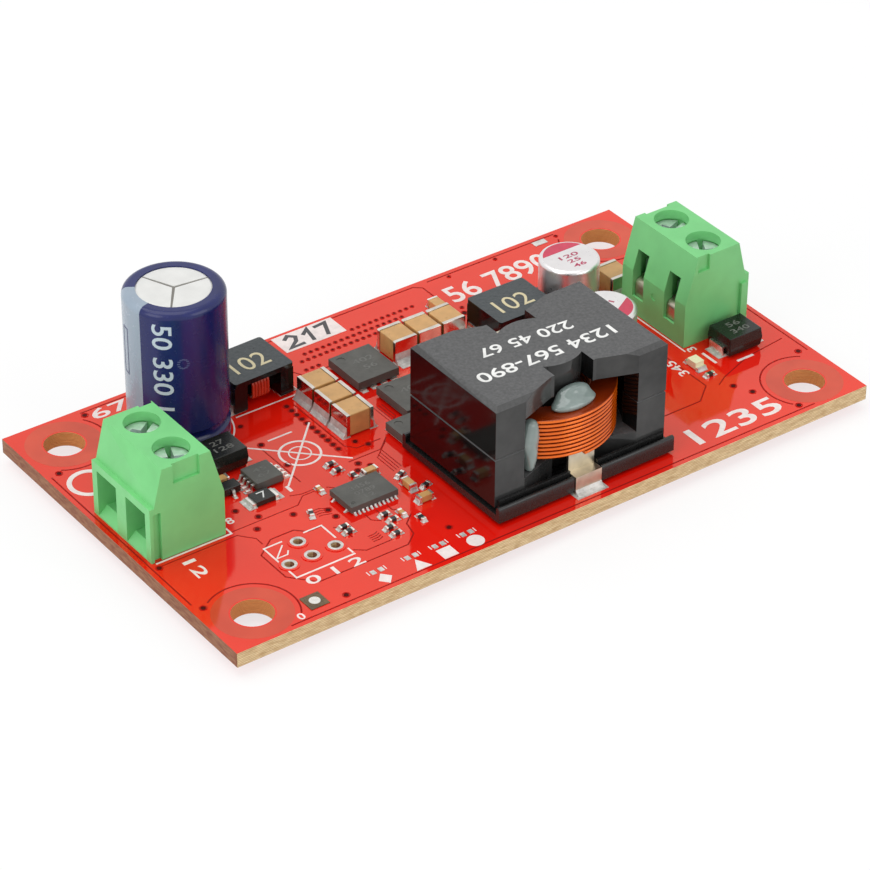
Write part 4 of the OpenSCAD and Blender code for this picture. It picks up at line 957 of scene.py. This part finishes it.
def can_top_sectors():
    """Three sectors that stand between the relief cuts, each with a sloping shoulder."""
    corner_away, gap, sector, steps = 0.17, 1.5, 117.0, 24
    bm = bmesh.new()
    for cut in CUT_ANGLES:
        corner = circle(0, 0, corner_away, 1, cut + 60)[0]
        plan = [corner] + circle(0, 0, DISC_R, steps, cut + gap, cut + gap + sector, close=False)
        inset = [(corner[0] + (x - corner[0]) * 0.97, corner[1] + (y - corner[1]) * 0.97) for x, y in plan]
        skin(bm, [
            [bm.verts.new((bulk_mid.x + x * MM, bulk_mid.y + y * MM, (DISC_TOP + h) * MM)) for x, y in pts]
            for pts, h in ((plan, -0.05), (plan, 0.05), (inset, 0.085))])
    mat = plain("can_top_aluminium", (0.72, 0.72, 0.70), 0.5, metal=0.45, vary=0.05, grain=1500,
                bump=0.00001, patch=500)
    add_piece("can_top_sectors", bm, mat)


def can_top_cuts():
    """The cuts' shaded floor, seen between the sectors."""
    cut = Film()
    cut.disc(bulk_mid.x / MM, bulk_mid.y / MM, DISC_R - 0.01, DISC_TOP - 0.03, DISC_TOP + 0.004, n=48)
    cut.done("can_top_cuts", plain("relief_cut_shade", (0.20, 0.19, 0.17), 0.6, vary=0.2))


can_top_sectors()
can_top_cuts()


# ------------ power inductor

coil_lo, coil_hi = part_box("inductor_coil")
coil_mid = Vector(((coil_lo.x + coil_hi.x) / 2, (coil_lo.y + coil_hi.y) / 2))
COIL_R = (coil_hi.x - coil_lo.x) / 2
WIRE_W = 2.7 * MM
WIRE_T = 0.36 * MM
TURNS = 10.5
STEPS = 120
coil_rise = (coil_hi.z - coil_lo.z - WIRE_T) / TURNS


def edge_wound_coil():
    """Flat enamelled strip wound on edge: one swept section with rounded corners."""
    bm = bmesh.new()
    t = WIRE_T / 2
    uneven = 0.03 * MM
    section = []
    for centre, sign in ((COIL_R - t, 1), (COIL_R - WIRE_W + t, -1)):
        for k in range(7):
            a = math.radians(-90 + 30 * k)
            section.append((centre + sign * t * 0.95 * math.cos(a), sign * t * math.sin(a)))
    rows = []
    count = int(TURNS * STEPS)
    for i in range(count + 1):
        turn = i / STEPS
        a = 2 * math.pi * turn - math.pi / 2
        z = coil_lo.z + t + coil_rise * turn
        # some turns lie a hair nearer the post than others
        pulled = min(0.0, uneven * math.sin(14.8 * turn + 1.3) * math.sin(2.1 * turn))
        rows.append([bm.verts.new((coil_mid.x + (r + pulled) * math.cos(a),
                                   coil_mid.y + (r + pulled) * math.sin(a), z + h)) for r, h in section])
    skin(bm, rows)
    return bm


def enamel_material():
    """Clear orange enamel on copper, bright on the strip's edge. The strip's broad faces are painted deep
    brown-red: a painted dark reflection.
    """
    g = Graph("enamelled_strip")
    _, nor = g.position()
    wide = g.noise(180.0, 3.0)
    grain = g.noise(1.0, 3.0, 0.6, g.mapped((500, 500, 5200)))
    flank = g.mix(g.remap(wide, 0.3, 0.7), (0.72, 0.105, 0.002), (0.88, 0.165, 0.004))
    # the broad faces' deep brown-red is a painted dark reflection, not the enamel's own colour
    painted_dark_reflection = g.mix(g.remap(wide, 0.3, 0.7), (0.20, 0.018, 0.002), (0.34, 0.040, 0.004))
    g.color(g.mix(g.remap(g.math("ABSOLUTE", nor[2]), 0.55, 0.95), flank, painted_dark_reflection))
    g.rough(g.remap(grain, 0.3, 0.7, 0.16, 0.28))
    g.bump(grain, 0.000008)
    set_inputs(g.bsdf, Metallic=0.30, Specular_Tint=(1.0, 0.62, 0.30, 1.0), Coat_Weight=0.45,
               Coat_Roughness=0.06)
    return g.mat


add_piece("coil_edge_wound", edge_wound_coil(), enamel_material(), smooth=True,
          replaces=("inductor_coil",))


def ferrite_material(name, top_rough, side_rough, top_colors, side_colors):
    """Ground ferrite: fine grain and pits on the top, a smoother lacquered skin on the sides. Faces that
    face along X are painted near black: a painted dark reflection.
    """
    g = Graph(name)
    _, nor = g.position()
    fine = g.noise(3200.0, 4.0, 0.65)
    grit = g.pits(1500.0)
    wide = g.noise(260.0, 3.0)
    up = g.remap(nor[2], 0.55, 0.9)
    side = g.mix(g.remap(wide, 0.3, 0.7), *side_colors)
    # faces that face along X are painted near black: a painted dark reflection of the board beside them
    side = g.mix(g.math("GREATER_THAN", g.math("ABSOLUTE", nor[0]), 0.8), side, (0.004, 0.004, 0.004))
    top = g.mix(g.remap(fine, 0.3, 0.7), *top_colors)
    g.color(g.mix(up, side, top))
    sides = g.remap(fine, 0.3, 0.7, side_rough - 0.03, side_rough + 0.05)
    g.rough(g.math("ADD", g.math("MULTIPLY", up, top_rough - side_rough), sides))
    relief = g.math("ADD", fine, g.math("MULTIPLY", grit, 0.6))
    depth = g.math("ADD", g.math("MULTIPLY", up, 0.95), 0.05)
    g.bump(g.math("MULTIPLY", relief, depth), 0.00003)
    set_inputs(g.bsdf, Specular_IOR_Level=0.30)
    return g.mat


power_core = ferrite_material("ferrite_power_core", 0.55, 0.09,
                              ((0.070, 0.071, 0.072), (0.128, 0.128, 0.129)),
                              ((0.020, 0.020, 0.020), (0.052, 0.052, 0.051)))
choke_core = ferrite_material("ferrite_choke", 0.30, 0.14,
                              ((0.038, 0.046, 0.050), (0.066, 0.076, 0.080)),
                              ((0.004, 0.004, 0.004), (0.009, 0.009, 0.009)))
assign(power_core, "inductor_upper_core", "inductor_lower_core")
assign(choke_core, *[m for m in NODES if m.endswith(("choke_core", "choke_plate"))])


# ------------ choke windings

def rounded_loop(y_mid, z_mid, half_y, half_z, r):
    """Places and outward angles along an upright rounded oblong, which a turn of wire follows."""
    path = []
    for qy, qz, start in ((1, 1, 0), (-1, 1, 90), (-1, -1, 180), (1, -1, 270)):
        for k in range(6):
            a = math.radians(start + 90 * k / 5)
            y = y_mid + qy * (half_y - r) + r * math.cos(a)
            z = z_mid + qz * (half_z - r) + r * math.sin(a)
            path.append((y, z, a))
    return path


def choke_strands(node, count, span):
    """Turns of thin lacquered wire, side by side round the choke's bar. Sizes are in mm."""
    sides = 10
    lo, hi = (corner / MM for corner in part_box(node))
    wire = span / count / 2 * 0.96
    x_mid, y_mid, z_mid = ((lo[k] + hi[k]) / 2 for k in range(3))
    path = rounded_loop(y_mid, z_mid, (hi[1] - lo[1]) / 2 - wire, (hi[2] - lo[2]) / 2 - wire, 0.45)
    around = [2 * math.pi * k / sides for k in range(sides)]
    bm = bmesh.new()
    for i in range(count):
        x = x_mid + span * ((i + 0.5) / count - 0.5)
        loops = []
        for y, z, a in path:
            loops.append([bm.verts.new(((x + wire * math.cos(b)) * MM,
                                        (y + wire * math.sin(b) * math.cos(a)) * MM,
                                        (z + wire * math.sin(b) * math.sin(a)) * MM)) for b in around])
        skin(bm, loops, closed=True)
    return bm


red_wire = plain("red_wire_lacquer", (0.62, 0.045, 0.014), 0.2, metal=0.25, vary=0.15, grain=1500,
                 bump=0.000004, patch=600, coat=0.5)
for end in ("input", "output"):
    winding = end + "_choke_winding"
    add_piece(end + "_choke_strands", choke_strands(winding, 6, 2.1), red_wire,
              smooth=True, replaces=(winding,))


# ------------ adhesive on the inductor's coil

def relaxed_skin(bm, voxel, smooth_steps):
    """One closed skin over the balls in bm, relaxed until their seams are gone."""
    data = bpy.data.meshes.new("balls")
    bm.to_mesh(data)
    bm.free()
    ob = in_scene("balls", data)
    whole = ob.modifiers.new("skin", "REMESH")
    whole.mode = "VOXEL"
    whole.voxel_size = voxel
    relax = ob.modifiers.new("relax", "SMOOTH")
    relax.factor = 0.6
    relax.iterations = smooth_steps
    out = evaluated(ob)
    bpy.data.meshes.remove(data)
    return out


def adhesive_drops():
    """Two drops on top of the coil, and a bead down its side. Sizes are in mm."""
    x, y, top = coil_mid.x / MM, coil_mid.y / MM, coil_hi.z / MM
    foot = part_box("inductor_adhesive")[0].z / MM
    balls = [((x - 0.1, y - 5.6, top + 0.10), (2.7, 1.3, 0.66)),
             ((x + 0.3, y - 4.9, top + 0.5), (2.1, 0.9, 1.0))]
    for k in range(7):
        wide = 1.25 - 0.16 * abs(k - 4)
        centre = (-1.9 + 0.08 * math.sin(k * 1.3), -17.0 + 0.05 * math.cos(k * 2.1), foot + 0.1 + 0.72 * k)
        balls.append((centre, (wide, 0.85, 0.85)))
    bm = bmesh.new()
    for centre, radii in balls:
        place = Matrix.Translation([v * MM for v in centre]) @ Matrix.Diagonal([r * MM for r in radii] + [1])
        bmesh.ops.create_icosphere(bm, subdivisions=3, radius=1.0, matrix=place)
    bm = relaxed_skin(bm, 0.12 * MM, 60)
    for v in bm.verts:
        swell = math.sin(v.co.x * 1100) + math.sin(v.co.y * 900 + 1) + math.sin(v.co.z * 1200 + 2)
        v.co += v.normal * (0.02 * MM * swell / 3)
    return bm


def glue_material():
    g = Graph("cured_adhesive")
    g.color(g.mix(g.remap(g.noise(420.0, 3.0), 0.3, 0.7), (0.18, 0.23, 0.215), (0.26, 0.32, 0.30)))
    g.rough(g.remap(g.noise(900.0, 2.0), 0.3, 0.7, 0.05, 0.12))
    g.bump(g.noise(500.0, 2.0), 0.000002)
    set_inputs(g.bsdf, Coat_Weight=0.6, Coat_Roughness=0.05, Subsurface_Weight=0.15,
               Subsurface_Radius=(0.0006, 0.0007, 0.0006))
    return g.mat


add_piece("adhesive_drops", adhesive_drops(), glue_material(), smooth=True,
          replaces=("inductor_adhesive",))


# ------------ softened edges on the CAD nodes

def soften(width, segments, *names):
    for n in names:
        ob = NODES[n]
        weld = ob.modifiers.new("weld", "WELD")
        weld.merge_threshold = 0.000002
        bev = ob.modifiers.new("edges", "BEVEL")
        bev.width = width * MM
        bev.segments = segments
        bev.limit_method = "ANGLE"
        bev.angle_limit = math.radians(38)
        bev.harden_normals = False
        bev.miter_outer = "MITER_ARC"


soften(0.12, 2, "inductor_upper_core")
soften(0.03, 1, "inductor_lower_core")
soften(0.10, 2, "input_ceramics", "output_ceramics", "ceramic_capacitor_ends", "input_choke_plate",
       "output_choke_plate", "suppressor_body", "output_diode_body", "controller_body", "amplifier_body",
       "small_transistor_body")
soften(0.06, 2, "input_terminal_housing", "output_terminal_housing", "inductor_base", "polymer_can_bases")
soften(0.04, 1, "small_ceramic_bodies", "small_ceramic_ends", "chip_resistor_ends", "status_light_body")


# ------------ camera

# The photo's view: where the camera looks, its distance, its turn, height and roll in degrees, its lens
LOOK_AT = Vector((-2.70, -2.99, 1.6)) * MM
CAMERA_AWAY = 357.8 * MM
AZIMUTH, ELEVATION, ROLL = -35.996, 34.507, 0.368
LENS = 151.6


def camera_axes(az, el, roll):
    """The camera's right, up and backward directions."""
    a, e, r = (math.radians(v) for v in (az, el, roll))
    back = Vector((math.sin(a) * math.cos(e), -math.cos(a) * math.cos(e), math.sin(e)))
    right = Vector((0, 0, 1)).cross(back).normalized()
    up = back.cross(right)
    c, s = math.cos(r), math.sin(r)
    return c * right + s * up, -s * right + c * up, back


def photo_camera():
    data = bpy.data.cameras.new("camera")
    data.sensor_width = 36
    data.lens = LENS
    data.clip_start = 0.01
    data.clip_end = 20
    cam = in_scene("camera", data)
    right, up, back = camera_axes(AZIMUTH, ELEVATION, ROLL)
    turned = Matrix((right, up, back)).transposed().to_4x4()
    cam.matrix_world = Matrix.Translation(LOOK_AT + back * CAMERA_AWAY) @ turned
    bpy.context.scene.camera = cam


photo_camera()


# ------------ floor and light

def seen_rays(nt):
    """One for rays from the camera, or through a gloss or glass; nothing for light on the object."""
    path = nt.nodes.new("ShaderNodeLightPath")
    total = path.outputs["Is Camera Ray"]
    for name in ("Is Glossy Ray", "Is Transmission Ray"):
        n = nt.nodes.new("ShaderNodeMath")
        n.operation = "MAXIMUM"
        nt.links.new(total, n.inputs[0])
        nt.links.new(path.outputs[name], n.inputs[1])
        total = n.outputs[0]
    return total


def floor_material():
    """Seen directly or in a gloss, part of the floor is a white backdrop that still takes the shadow."""
    backdrop_share = 0.72
    g = Graph("pale_floor")
    g.color(g.mix(g.remap(g.noise(14.0, 2.0), 0.3, 0.7), (0.93, 0.93, 0.93), (0.96, 0.96, 0.96)))
    set_inputs(g.bsdf, Roughness=0.9, Specular_IOR_Level=0.2)
    white = g.node("Emission", Strength=1.0)
    both = g.node("MixShader")
    link = g.nt.links.new
    link(g.math("MULTIPLY", seen_rays(g.nt), backdrop_share), both.inputs["Fac"])
    link(g.bsdf.outputs["BSDF"], both.inputs[1])
    link(white.outputs[0], both.inputs[2])
    link(both.outputs[0], g.out.inputs["Surface"])
    return g.mat


def pale_floor():
    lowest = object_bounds()[0].z
    data = bpy.data.meshes.new("floor")
    bm = bmesh.new()
    bmesh.ops.create_grid(bm, x_segments=8, y_segments=8, size=1.6)
    bm.to_mesh(data)
    bm.free()
    data.materials.append(floor_material())
    floor = in_scene("floor", data)
    floor.location = (0, 0, lowest)
    floor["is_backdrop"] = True


def studio_world():
    """White to look at, and a little dimmer as light on the object."""
    world = bpy.data.worlds.new("studio")
    bpy.context.scene.world = world
    world.use_nodes = True
    nt = world.node_tree
    for n in list(nt.nodes):
        nt.nodes.remove(n)
    out = nt.nodes.new("ShaderNodeOutputWorld")
    background = nt.nodes.new("ShaderNodeBackground")
    set_inputs(background, Color=(1, 1, 1, 1))
    strength = nt.nodes.new("ShaderNodeMapRange")
    set_inputs(strength, To_Min=0.62, To_Max=1.0)
    nt.links.new(seen_rays(nt), strength.inputs["Value"])
    nt.links.new(strength.outputs["Result"], background.inputs["Strength"])
    nt.links.new(background.outputs[0], out.inputs[0])


def area_light(name, where, toward, size, watts):
    data = bpy.data.lights.new(name, "AREA")
    data.size = size
    data.energy = watts
    ob = in_scene(name, data)
    ob.location = where
    ob.rotation_euler = (Vector(toward) - Vector(where)).to_track_quat("-Z", "Y").to_euler()


pale_floor()
studio_world()
area_light("key", (-0.15, 0.12, 0.85), (0, 0, 0), 0.8, 3.2)
area_light("fill", (-0.80, -0.15, 0.40), (0, 0, 0.005), 0.5, 1.7)
area_light("side", (0.30, -0.70, 0.40), (0, 0, 0.005), 0.5, 1.3)

bpy.context.scene.view_settings.view_transform = "Standard"
